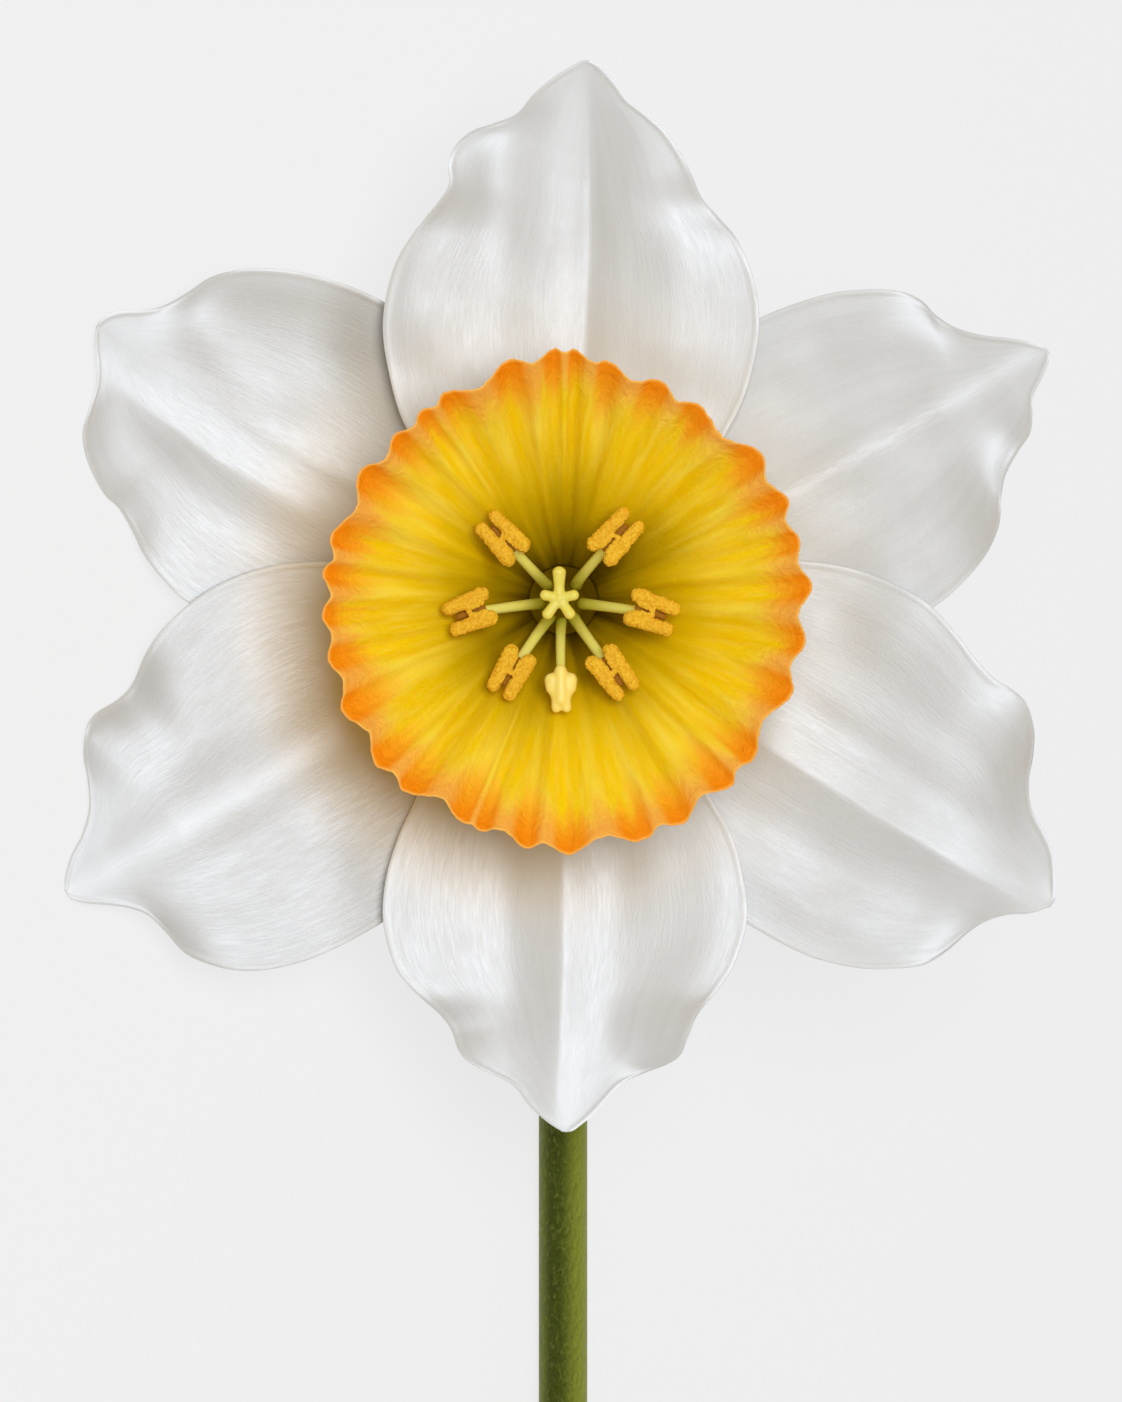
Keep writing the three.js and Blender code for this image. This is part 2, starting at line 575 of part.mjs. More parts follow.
const part = new THREE.Group();
part.add(flower);
part.updateMatrixWorld(true);
const box = new THREE.Box3().setFromObject(part, true);
flower.position.x -= (box.min.x + box.max.x) / 2;
flower.position.y -= (box.min.y + box.max.y) / 2;
flower.position.z -= box.min.z;

export default part;
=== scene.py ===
"""A cut narcissus flower lying on a pale table.

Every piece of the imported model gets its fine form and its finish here, and stays where the
model has it. Pieces are drawn in millimetres in the flower's own frame: its face looks along
+Z, its stem hangs along -Y, and the throat of the cup is the origin. HEAD lays them down.
"""

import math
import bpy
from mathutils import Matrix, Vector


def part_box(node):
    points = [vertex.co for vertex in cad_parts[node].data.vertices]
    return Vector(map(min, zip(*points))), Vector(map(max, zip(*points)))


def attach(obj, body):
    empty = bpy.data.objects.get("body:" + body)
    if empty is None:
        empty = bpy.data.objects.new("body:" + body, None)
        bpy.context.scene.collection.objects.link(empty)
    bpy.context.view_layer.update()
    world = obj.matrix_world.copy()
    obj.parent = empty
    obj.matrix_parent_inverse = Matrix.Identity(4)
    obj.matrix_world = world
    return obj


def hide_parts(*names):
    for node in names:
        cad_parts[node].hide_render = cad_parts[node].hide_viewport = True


bl_info = {
    "name": "Narcissus Flower",
    "version": (1, 0, 0),
    "blender": (4, 5, 0),
    "location": "View3D > Sidebar > Narcissus",
    "description": "Builds a cut narcissus flower, lying on its side, around its packed model",
    "category": "Add Mesh",
}

from bisect import bisect_right

import bmesh
import bpy
from bpy.props import FloatProperty, FloatVectorProperty, PointerProperty
from bpy.types import Operator, Panel, PropertyGroup
from mathutils import Matrix, Vector, noise

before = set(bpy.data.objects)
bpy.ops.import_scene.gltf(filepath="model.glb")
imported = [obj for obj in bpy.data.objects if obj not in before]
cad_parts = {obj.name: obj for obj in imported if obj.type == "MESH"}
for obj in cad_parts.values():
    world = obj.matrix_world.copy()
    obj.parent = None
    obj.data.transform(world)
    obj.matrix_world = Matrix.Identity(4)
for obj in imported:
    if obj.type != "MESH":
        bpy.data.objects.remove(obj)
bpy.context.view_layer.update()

# ------------------------------------------------------------------ the flower's own frame

MM = 0.001
LEAN = math.radians(33.7)  # how far the lying flower leans to its left
STEM_DEPTH = 26.6  # how far behind the throat the stem lies
STEM_CUT = -150  # the stem's cut end, below the throat
STEM_TOP = -24
STEM_NECK = 0.17  # share of its thickness that the stem loses at its top
STEM_NECK_START = 0.984  # of the way up
STEM_FLAT = 0.03  # share of its thickness that the stem lacks from front to back
STEM_SWELL = 0.02  # share that its random swells take
STEM_SWELL_LENGTH = 25.2
STALK_RADIUS = 1.9
STALK_WAIST = 0.12

# The cut end, ring by ring from the skin inwards: (breadth, rise of its inner edge).
CUT_RINGS = [(0.12, 0.02), (0.85, 0.12), (0.2, -0.5), (0.15, -3)]

STEM_LOW, STEM_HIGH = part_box("stem")
STEM_RADIUS = (STEM_HIGH.z - STEM_LOW.z) / 2 / MM
THROAT = Vector((
    (STEM_LOW.x + STEM_HIGH.x) / 2 - STEM_DEPTH * MM * math.sin(LEAN),
    STEM_LOW.y - STEM_CUT * MM,
    (STEM_LOW.z + STEM_HIGH.z) / 2 + STEM_DEPTH * MM * math.cos(LEAN),
))
HEAD = (
    Matrix.Translation(THROAT)
    @ Matrix.Rotation(-LEAN, 4, "Y")
    @ Matrix.Scale(MM, 4)
)
EYE = Vector((-0.2, -9.4, 545))  # where the camera stands; petal outlines are as seen from it
UP = Vector((0, 0, 1))
PATH_STEPS = 12  # of a smooth curve, from one given point to the next

# ------------------------------------------------------------------ petals

PETAL_ROOT = 5.3
PETAL_BOWL = 2.3  # 1 for petals that lean straight forward, more for tips that turn up
PETAL_LAYER_STEP = 1.6
PETAL_COLUMNS = 56  # of either half of a petal's grid
PETAL_ROWS = 150
ROW_SPREAD = 1.15  # over 1 sets the rows closer towards the tip
MARGIN_COLUMNS = 6  # the outermost ones, which stand close together
MARGIN_WIDTH = 0.9
MARGIN_SPREAD = 1.6
BEAD_INSET = 0.3  # of the rolled margin's crest from the edge
BEAD_HALF_WIDTH = 0.26
DRIFT_LENGTH = 7  # of the faint random swells of a petal
DRIFT_BREADTH = 5
DRIFT_HEIGHT = 0.12
DRIFT_FADE = 4  # from the edge, where they die out
THIN_EDGE = 0.42  # share of its thickness that a petal has at the margin
SHADE_SIDE = 210  # degrees round the flower, away from the light
LIGHT_SIDE_CUP_GLOW = 0.15  # share of the painted cup tint, as a painted warm glow, on the side that faces the light
BACK_CUP_SHADE_AND_GLOW = 0.25  # share of the painted cup shade and glow on a petal's back
OVERLAP_REACH = 27.5  # how far out the painted shadow of an overlapping petal goes, and how much
OVERLAP_SPREAD = 0.45  # further for each degree past OVERLAP_TURN
OVERLAP_TURN = 8
MIDRIB_HALF_WIDTH = 1
PETAL_LENGTH = 50  # of a usual petal, for the scale of its fibres
PETAL_HALF_WIDTH = 17
FOLD_FADE = 7  # a fold rises and dies out over this length

# Each petal lies along its axis, in degrees round the flower from the right. left and right
# list its two margins from root to tip, each point (along the axis, sideways). layer counts
# back from the foremost pair and rise is how far the tip leans forward. folds are lengthwise:
# (height, half width, sharpness, its line as points along and sideways), where a sharpness of
# 1 is a crease and 2 a soft round fold. The midrib entries give the line of the pale midrib and
# how pale it is; the pale line is partly the petal's own paler midrib and partly a painted
# highlight along its crest. ruffles are waves of the margin: (side, place along, length,
# height), where side is 1 for left and -1 for right. shaded_side is the side that lies in
# the shade of the petal before it, where that shadow is painted on, and a petal may also
# carry painted shade that darkens it all over, mixed in with the colour of its fibres.
PETALS = [
    {
        "name": "petal_top", "node": "tepal_top", "axis": 87.6, "layer": 0, "rise": 3.6,
        "left": [
            (4.5, 2.7), (7, 6.2), (10, 10.4), (13, 13.4), (16, 15.6), (20, 17), (25, 17.9),
            (30, 17.2), (33.5, 15.5), (37, 12.9), (38.6, 12.2), (40.2, 12.4), (42, 11.8),
            (43.4, 10.3), (44.2, 8.3), (45.2, 6.2), (47, 4.8), (48.7, 3), (50, 1.1),
            (50.4, 0.35),
        ],
        "right": [
            (4.5, -2.7), (7, -6.2), (10, -10.3), (13, -12.9), (16.3, -14.6), (20, -16.2),
            (25.5, -17.2), (30, -16.7), (34, -15), (36.2, -13.1), (38, -11.4), (40, -10.4),
            (42, -9.3), (44, -7.8), (45.6, -5.9), (46.8, -4.2), (48.4, -2.9), (49.9, -1.4),
            (50.4, -0.35),
        ],
        "folds": [
            (-0.5, 2.2, 1.4, ((17, -1), (33, -1.1), (50, -0.3))),
            (0.36, 5, 2, ((18, -9), (34, -9), (46, -6))),
            (-0.22, 2.8, 2, ((20, 7), (34, 7.2), (46, 8.4))),
            (0.4, 4, 2, ((20, 14.4), (34, 14.4), (44, 11))),
        ],
        "midrib_highlight": ((17, 0.9), (34, 0.7), (51, 0.6)), "midrib_tint": 0.4,
        "ruffles": [(1, 0.7, 0.06, 0.6), (1, 0.84, 0.06, -1), (-1, 0.68, 0.06, -0.7)],
    },
    {
        "name": "petal_upper_left", "node": "tepal_upper_left", "axis": 150.4, "layer": 2,
        "rise": 4.27,
        "left": [
            (4.5, 2.7), (7, 6.2), (10, 10.2), (14, 13.8), (19, 16.2), (25, 17.5),
            (30.2, 17.5), (33, 16.9), (36, 15.7), (38.2, 14.2), (40.3, 13), (42, 12.6),
            (44, 11.4), (45.6, 10), (46.7, 8.4), (47.2, 6.4), (47.7, 4.3), (48.6, 2.6),
            (49.8, 0.9), (50.4, -0.4),
        ],
        "right": [
            (4.5, -2.7), (7, -6.2), (10, -10), (14, -13.2), (19, -15.2), (25, -15.9),
            (30, -15.85), (34, -15.2), (37, -14.3), (40, -12.9), (42, -11.5), (43.6, -9.8),
            (44.7, -7.6), (46, -5.5), (47.4, -4.3), (49, -3.3), (50.1, -2.2), (50.5, -1.1),
        ],
        "folds": [
            (0.08, 1, 2, ((18, 0.1), (27, 0.1), (30, 0.1))),
            (0.27, 2.2, 1.5, ((20, 4.5), (34, 4.5), (52, 2.6))),
            (-0.16, 2.6, 2, ((24, 8.6), (36, 8.4), (46, 6))),
            (0.26, 2.4, 2, ((34, -3.2), (40, -4.6), (47, -6.2))),
            (0.7, 5, 2, ((18, -16), (34, -16), (42, -13))),
        ],
        "midrib_highlight": ((17, 3.2), (34, 3), (51, 1.8)), "midrib_tint": 0.35,
        "shaded_side": -1,
        "ruffles": [(1, 0.68, 0.06, -0.8), (1, 0.86, 0.07, 1), (-1, 0.86, 0.06, -1)],
    },
    {
        "name": "petal_lower_left", "node": "tepal_lower_left", "axis": 210.6, "layer": 1,
        "rise": 3.4,
        "left": [
            (4.5, 2.7), (7, 6.2), (10, 10), (14, 13.4), (19, 15.8), (25, 17), (31, 17.3),
            (36, 17), (39, 16.4), (42, 15.3), (44.2, 13.9), (46, 12.1), (47.2, 10.2),
            (47.7, 7.7), (48.3, 5.6), (49.5, 4.1), (51, 2.9), (52.7, 1.7), (53.6, 0.8),
            (53.8, 0.3),
        ],
        "right": [
            (4.5, -2.7), (7, -6.2), (10, -9.8), (13, -12.2), (17, -14.3), (21, -16.3),
            (25, -17.4), (29, -17.6), (33, -16.9), (36, -15.6), (38.5, -13.8), (40.4, -13.2),
            (43, -13.1), (44.6, -12.1), (45.9, -10.3), (46.7, -8.2), (47.9, -5.9),
            (49.7, -4.1), (51.6, -2.9), (53.1, -1.5), (53.8, -0.4),
        ],
        "folds": [
            (0.55, 4, 2.2, ((18, -0.4), (34, -0.2), (52, 0))),
            (0.22, 2.4, 2, ((26, 7.6), (36, 7.6), (47, 6.4))),
            (0.22, 4, 2, ((22, -12), (34, -11), (46, -7))),
        ],
        "midrib_highlight": ((17, -0.1), (34, 0.2), (52, 0.2)), "midrib_tint": 1,
        "shaded_side": 1, "painted_petal_shade": 0.5,
        "ruffles": [(-1, 0.66, 0.05, -0.9), (-1, 0.75, 0.05, 0.9), (1, 0.84, 0.06, -0.9)],
    },
    {
        "name": "petal_bottom", "node": "tepal_bottom", "axis": 270.5, "layer": 0,
        "rise": 3.6,
        "left": [
            (4.5, 2.7), (7, 6), (10, 9), (14, 11.6), (18, 13.3), (22, 15.5), (26, 16.6),
            (30, 16.9), (34, 15.7), (36.5, 14.1), (38.7, 12.2), (41, 11.2), (42.5, 10.6),
            (43.4, 9.3), (44.1, 7.4), (45.1, 5.2), (46.6, 3.7), (48.1, 2.3), (49.3, 0.8),
            (49.6, 0.25),
        ],
        "right": [
            (4.5, -2.7), (7, -6), (10, -9.2), (14, -12.1), (18.4, -13.9), (22, -15.6),
            (26, -16.8), (30, -17.05), (34, -16), (36.3, -14.3), (38.5, -11.9), (40, -10.8),
            (41.8, -10.2), (43, -9.2), (44, -7.4), (45.2, -5.1), (47.1, -3.6), (48.6, -2),
            (49.6, -0.5),
        ],
        "folds": [
            (0.46, 2.2, 1.4, ((18, -0.1), (34, -0.2), (50, -1.2))),
            (-0.3, 3.4, 2, ((18, -6), (34, -6.2), (46, -4.6))),
            (-0.22, 2.6, 2, ((20, 4), (36, 4), (46, 2))),
            (0.3, 4, 2, ((20, 13.6), (36, 13), (44, 9))),
        ],
        "midrib_highlight": ((17, 0.9), (34, 0.9), (50, 0.2)), "midrib_tint": 0.4,
        "ruffles": [(1, 0.74, 0.05, 0.9), (1, 0.84, 0.05, -0.8), (-1, 0.74, 0.05, -0.9)],
    },
    {
        "name": "petal_lower_right", "node": "tepal_lower_right", "axis": 328.2, "layer": 1,
        "rise": 4,
        "left": [
            (4.5, 2.7), (7, 6.2), (10, 9.8), (13, 12.4), (17.1, 14.9), (21, 16.6),
            (25, 17.5), (29, 17.7), (33, 16.6), (35.6, 15.6), (38, 15), (40, 15),
            (41.8, 14.6), (43.5, 13.1), (44.7, 11), (45.7, 8.7), (47.3, 6.6), (49.5, 5.3),
            (51.2, 4.1), (52.6, 2.3), (53.7, 0.5),
        ],
        "right": [
            (4.5, -2.7), (7, -6.2), (10, -10), (14, -13.4), (19, -15.6), (25, -16.4),
            (31, -16.6), (36, -16.3), (39, -15.6), (42, -14.4), (44.4, -12.9), (46.5, -11.2),
            (47.7, -8.9), (48.4, -6.6), (49.3, -4.7), (50.7, -3.1), (52.4, -1.9),
            (53.7, -0.4),
        ],
        "folds": [
            (0.42, 2.2, 1.4, ((17, -1.5), (34, -1.7), (52, -1.4))),
            (-0.2, 3, 2, ((18, -7.4), (34, -7.4), (48, -5))),
            (-0.2, 2.2, 2, ((20, 2.9), (36, 3), (48, 2.6))),
            (0.36, 4, 2, ((22, 16), (38, 15), (47, 10))),
        ],
        "midrib_highlight": ((17, -0.3), (34, -0.3), (52, -0.2)), "midrib_tint": 0.5,
        "ruffles": [(1, 0.68, 0.06, -0.8), (1, 0.8, 0.06, 1), (-1, 0.86, 0.06, -1)],
    },
    {
        "name": "petal_upper_right", "node": "tepal_upper_right", "axis": 27.3, "layer": 2,
        "rise": 4,
        "left": [
            (4.5, 2.7), (7, 6.2), (10, 9.8), (14, 12.8), (19, 14.6), (25, 15), (30, 14.9),
            (35, 14.1), (38, 13), (40, 12), (41.6, 10.8), (42.6, 9.4), (43.1, 7.7),
            (44.3, 5.7), (46.2, 4), (48, 2.8), (49.6, 1.6), (50.8, 0.4),
        ],
        "right": [
            (4.5, -2.7), (7, -6.2), (10, -10), (14, -13.4), (19, -15.8), (25, -16.6),
            (30.6, -16.4), (34, -15.6), (37, -14.3), (39.3, -12.4), (40.6, -10.4),
            (42, -8.6), (44, -7.2), (45.8, -6.2), (46.8, -4.8), (47.6, -3.3), (49.2, -2.1),
            (50.4, -1.1), (50.9, -0.4),
        ],
        "folds": [
            (0.36, 2.4, 1.4, ((17, -1), (34, -0.6), (50, 0.6))),
            (0.16, 3.4, 2, ((24, 10), (34, 9.4), (42, 6.6))),
            (0.2, 4, 2, ((22, -10), (32, -10), (38, -8))),
        ],
        "midrib_highlight": ((17, -0.9), (34, -0.6), (50, 0.6)), "midrib_tint": 1,
        "ruffles": [(1, 0.82, 0.06, -0.9), (-1, 0.72, 0.06, 0.8), (-1, 0.84, 0.05, -1)],
    },
]

# ------------------------------------------------------------------ the cup and its organs

# The cup's inner face from foot to rim, (radius, height).
CUP_INSIDE = [
    (3.15, 0.25), (5.1, 2.3), (8.2, 5.2), (12.2, 8.5), (16.6, 12.1), (19.9, 15.3), (21.9, 17.6),
]
CUP_TURNS = 600  # steps round the cup
CUP_POINTS = 60  # steps up its wall
CUP_FLUTE_START = 5  # height at which the wall starts to flute
CUP_FLUTE_DEPTH = 0.55
CUP_SCALLOP = 0.08  # how deep the rim sags between crests, for each degree between them
CUP_SCALLOP_MOST = 1.3
CUP_DIP = 0.45  # a crest reaches this share of its width lower
CUP_CENTRE = Vector((0.27, -0.3, 0))  # of the rim

# The crests of the cup's scalloped outer edge: (degrees round the cup, radius).
RIM_CRESTS = [
    (3.5, 22.3), (14.4, 21.8), (24.7, 22), (36.7, 22.1), (55.9, 21.3), (66.6, 21.6),
    (79.8, 21.9), (88, 22.7), (92.4, 22.8), (103.3, 22.3), (120.8, 21.7), (127.2, 21.6),
    (135.8, 21.5), (148, 22), (164.8, 22), (173.6, 22.1), (183.7, 22.1), (193.8, 22.2),
    (206.2, 22.6), (221.1, 22.8), (229.6, 22.7), (245.4, 22.2), (248.9, 22.2),
    (260.4, 22.7), (270.1, 23), (287.9, 22.8), (297.3, 22.8), (311.5, 22.5), (319.3, 22.2),
    (337.9, 22.1), (349.7, 21.9),
]

STAMEN_ROOT = 2.1
STAMEN_ROOT_HEIGHT = -5
STAMEN_HEIGHT = 9.3
STAMEN_CENTRE = Vector((-0.37, 0, 0))
FILAMENT_RADIUS = 0.56
FILAMENT_REACH = 0.9  # how far inwards of its middle the filament meets an anther
FILAMENT_DROP = 0.8  # how far below its middle
TUBE_FLOOR = -11.2
GAP = 0.3

# The six fertile stamens round the style: (degrees, distance of the anther from the middle,
# how far the anther turns from its filament's line, its length, its breadth).
ANTHERS = [
    (47.4, 7.7, 0, 1.1, 1.1), (133, 7.6, 0, 1.05, 1), (188.9, 8.3, 12, 0.95, 1.2),
    (237, 8.1, 4, 1, 1), (306.1, 8.4, 0, 1.05, 1.04), (351.3, 8.6, -10, 1, 1.18),
]
PALE_ORGAN = (271.2, 8.3)  # degrees, distance of its head from the middle
PALE_HEAD_DROP = 0.4  # below the fertile anthers
PALE_FILAMENT_RADIUS = 0.52
PALE_FILAMENT_REACH = 1.6
PALE_FILAMENT_DROP = 0.65

# The lobes of the stigma: (degrees, length, waist radius, end radius).
STIGMA_LOBES = [
    (90, 2.3, 0.5, 0.66), (166.6, 1.3, 0.47, 0.52), (233.5, 1.75, 0.48, 0.54),
    (304.8, 1.7, 0.48, 0.54), (12.8, 1.35, 0.47, 0.52),
]


# ------------------------------------------------------------------ shared helpers


def srgb(red, green, blue):
    """A colour given as a screen shows it, 0 to 255, as the linear values that shaders use."""
    linear = []
    for channel in (red, green, blue):
        share = channel / 255
        if share <= 0.04045:
            linear.append(share / 12.92)
        else:
            linear.append(((share + 0.055) / 1.055) ** 2.4)
    return tuple(linear)


def smooth(value, start, end):
    """0 before start, 1 after end, and a smooth rise between them."""
    share = min(max((value - start) / (end - start), 0), 1)
    return share * share * (3 - 2 * share)


def lerp(start, end, share):
    return start + (end - start) * share


def polar(degrees, radius, height=0):
    angle = math.radians(degrees)
    return Vector((math.cos(angle) * radius, math.sin(angle) * radius, height))


def along_sight(x, y, z):
    """The point at height z that EYE sees where it saw (x, y) at height 0."""
    share = 1 - z / EYE.z
    return Vector((lerp(EYE.x, x, share), lerp(EYE.y, y, share), z))


class Path:
    """A smooth curve through points, read by the share of its length."""

    def __init__(self, points):
        knots = [Vector(point) for point in points]
        knots = [2 * knots[0] - knots[1], *knots, 2 * knots[-1] - knots[-2]]
        self.points = []
        for before, start, end, after in zip(knots, knots[1:], knots[2:], knots[3:]):
            leaving = (end - before) / 2
            arriving = (after - start) / 2
            for step in range(PATH_STEPS):
                t = step / PATH_STEPS
                self.points.append(
                    start * (2 * t**3 - 3 * t**2 + 1)
                    + leaving * (t**3 - 2 * t**2 + t)
                    + end * (3 * t**2 - 2 * t**3)
                    + arriving * (t**3 - t**2)
                )
        self.points.append(knots[-2])
        self.lengths = [0]
        for start, end in zip(self.points, self.points[1:]):
            self.lengths.append(self.lengths[-1] + (end - start).length)

    def at(self, share):
        length = share * self.lengths[-1]
        index = min(bisect_right(self.lengths, length) - 1, len(self.points) - 2)
        span = self.lengths[index + 1] - self.lengths[index]
        return self.points[index].lerp(
            self.points[index + 1], (length - self.lengths[index]) / span
        )


def line_at(points, along):
    """How far sideways a line of (along, sideways) points runs at a place along it."""
    if along <= points[0][0]:
        return points[0][1]
    for (start, low), (end, high) in zip(points, points[1:]):
        if along <= end:
            return lerp(low, high, (along - start) / (end - start))
    return points[-1][1]


def finished(bm, name, nodes, material):
    """Lays a mesh drawn in the flower's frame in its place, as a piece that stands for nodes."""
    bmesh.ops.transform(bm, matrix=HEAD, verts=bm.verts)
    mesh = bpy.data.meshes.new(name)
    bm.to_mesh(mesh)
    bm.free()
    mesh.materials.append(material)
    mesh.shade_smooth()
    piece = bpy.data.objects.new(name, mesh)
    bpy.context.scene.collection.objects.link(piece)
    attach(piece, "root")
    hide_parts(*nodes)
    return piece


def float_layers(bm, *names):
    """New values that each point carries, for the shaping or as attributes of the finish."""
    return [bm.verts.layers.float.new(name) for name in names]


def sampled(path, steps):
    """The points of a path at even steps, from its start to its end."""
    return [tuple(path.at(step / steps)) for step in range(steps + 1)]


def bent_rod(path, radius_at, sides, steps):
    """A closed rod that follows a path; radius_at gives its radius at a share of the way."""
    bm = bmesh.new()
    bmesh.ops.create_cone(
        bm, cap_ends=True, segments=sides, radius1=1, radius2=1, depth=2
    )
    uprights = [e for e in bm.edges if abs(e.verts[0].co.z - e.verts[1].co.z) > 1]
    bmesh.ops.subdivide_edges(bm, edges=uprights, cuts=steps - 1, use_grid_fill=True)
    (way,) = float_layers(bm, "way")
    side = Vector((1, 0, 0))
    frames = []
    for step in range(steps + 1):
        share = step / steps
        ahead = path.at(min(share + 0.01, 1)) - path.at(max(share - 0.01, 0))
        ahead.normalize()
        side = (side - ahead * side.dot(ahead)).normalized()
        frames.append((path.at(share), side.copy(), ahead.cross(side)))
    for vert in bm.verts:
        share = (vert.co.z + 1) / 2
        point, across, over = frames[round(share * steps)]
        radius = radius_at(share)
        vert.co = point + across * vert.co.x * radius + over * vert.co.y * radius
        vert[way] = share
    return bm


def add_round_rod(bm, start, end, start_radius, end_radius, flatness=1):
    """Adds a rod with round ends between two points, flattened along Z."""
    made = bmesh.ops.create_uvsphere(bm, u_segments=20, v_segments=14, radius=1)
    ahead = end - start
    if ahead.length < 1e-6:
        ahead = UP
    turn = ahead.to_track_quat("Z", "Y")
    for vert in made["verts"]:
        upper = vert.co.z > 0
        reach = turn @ vert.co * (end_radius if upper else start_radius)
        reach.z *= flatness
        vert.co = (end if upper else start) + reach


def fused(bm, voxel, rounds):
    """The overlapping closed shapes of bm as one skin, with its joints smoothed."""
    mesh = bpy.data.meshes.new("loose_shapes")
    bm.to_mesh(mesh)
    bm.free()
    shapes = bpy.data.objects.new("loose_shapes", mesh)
    bpy.context.scene.collection.objects.link(shapes)
    remesh = shapes.modifiers.new("skin", "REMESH")
    remesh.mode = "VOXEL"
    remesh.voxel_size = voxel
    skin = bpy.data.meshes.new_from_object(
        shapes.evaluated_get(bpy.context.evaluated_depsgraph_get())
    )
    bpy.data.objects.remove(shapes)
    bpy.data.meshes.remove(mesh)
    bm = bmesh.new()
    bm.from_mesh(skin)
    bpy.data.meshes.remove(skin)
    for _ in range(rounds):
        bmesh.ops.smooth_vert(
            bm, verts=bm.verts, factor=0.5, use_axis_x=True, use_axis_y=True, use_axis_z=True
        )
    return bm


def spin_round(bm, outline, steps):
    """Turns an outline of points and edges once round Z."""
    bmesh.ops.spin(
        bm, geom=outline, cent=(0, 0, 0), axis=(0, 0, 1), dvec=(0, 0, 0),
        angle=2 * math.pi, steps=steps, use_merge=True,
    )


def turned(profile, steps):
    """A closed vessel turned about Z from (radius, height) points, with both ends on it."""
    bm = bmesh.new()
    verts = [bm.verts.new((radius, 0, height)) for radius, height in profile]
    edges = [bm.edges.new(pair) for pair in zip(verts, verts[1:])]
    spin_round(bm, verts + edges, steps)
    bmesh.ops.remove_doubles(bm, verts=bm.verts, dist=1e-4)
    bmesh.ops.recalc_face_normals(bm, faces=bm.faces)
    return bm


def give_back(bm, wall):
    """Gives a sheet its back face, as far behind each point as wall says, and returns it."""
    bm.normal_update()
    made = bmesh.ops.extrude_face_region(bm, geom=bm.faces[:], use_keep_orig=True)
    back = [part for part in made["geom"] if isinstance(part, bmesh.types.BMVert)]
    for vert in back:
        vert.co -= vert.normal * vert[wall]
    bmesh.ops.recalc_face_normals(bm, faces=bm.faces)
    return back


def points_round(centre, degrees, length=1, breadth=1):
    """A way to name points about a centre: along a line at an angle, across it, and up."""
    turn = Matrix.Rotation(math.radians(degrees), 3, "Z")

    def at(along, across, up=0):
        return centre + turn @ Vector((along * length, across * breadth, up))

    return at


# ------------------------------------------------------------------ materials


class Finish:
    """A new material, and short ways to add and join its nodes."""

    def __init__(self, name):
        self.material = bpy.data.materials.new(name)
        self.material.use_nodes = True
        self.tree = self.material.node_tree
        self.surface = self.tree.nodes["Principled BSDF"]

    def add(self, kind, inputs, output, **settings):
        node = self.tree.nodes.new(kind)
        for name, value in settings.items():
            setattr(node, name, value)
        for key, value in inputs.items():
            self.feed(node.inputs[key], value)
        return node.outputs[output]

    def feed(self, socket, value):
        if isinstance(value, bpy.types.NodeSocket):
            self.tree.links.new(value, socket)
        else:
            socket.default_value = value

    def set(self, **values):
        """Sets or joins sockets of the surface, named in words joined by underscores."""
        for name, value in values.items():
            words = name.replace("_", " ").title().replace("Ior", "IOR")
            self.feed(self.surface.inputs[words], value)

    def attribute(self, name, output="Fac"):
        return self.add("ShaderNodeAttribute", {}, output, attribute_name=name)

    def place(self):
        return self.add("ShaderNodeTexCoord", {}, "Object")

    def scaled(self, vector, scale):
        inputs = {0: vector, 1: scale}
        return self.add("ShaderNodeVectorMath", inputs, "Vector", operation="MULTIPLY")

    def noise(self, vector, scale=1, detail=3, roughness=0.5):
        inputs = {"Vector": vector, "Scale": scale, "Detail": detail, "Roughness": roughness}
        return self.add("ShaderNodeTexNoise", inputs, "Fac")

    def cells(self, vector, scale):
        inputs = {"Vector": vector, "Scale": scale}
        return self.add("ShaderNodeTexVoronoi", inputs, "Distance")

    def remap(self, value, low, high, to_low=0, to_high=1):
        inputs = {
            "Value": value, "From Min": low, "From Max": high, "To Min": to_low,
            "To Max": to_high,
        }
        return self.add(
            "ShaderNodeMapRange", inputs, "Result", interpolation_type="SMOOTHSTEP"
        )

    def math(self, operation, first, second):
        return self.add("ShaderNodeMath", {0: first, 1: second}, "Value", operation=operation)

    def mix(self, share, first, second):
        node = self.tree.nodes.new("ShaderNodeMix")
        node.data_type = "RGBA"
        self.feed(node.inputs[0], share)
        self.feed(node.inputs[6], opaque(first))
        self.feed(node.inputs[7], opaque(second))
        return node.outputs[2]

    def ramp(self, value, stops):
        node = self.tree.nodes.new("ShaderNodeValToRGB")
        ends = node.color_ramp.elements
        while len(ends) < len(stops):
            ends.new(0.5)
        for element, (position, colour) in zip(ends, stops):
            element.position = position
            element.color = opaque(colour)
        self.feed(node.inputs["Fac"], value)
        return node.outputs["Color"]

    def bump(self, height, depth, under=None):
        """Relief of a depth in millimetres, over another relief."""
        inputs = {"Height": height, "Distance": depth * MM, "Strength": 1}
        if under is not None:
            inputs["Normal"] = under
        return self.add("ShaderNodeBump", inputs, "Normal")


def opaque(colour):
    """A colour with its alpha, as colour sockets want it; a socket stays as it is."""
    if isinstance(colour, bpy.types.NodeSocket) or len(colour) == 4:
        return colour
    return (*colour, 1)


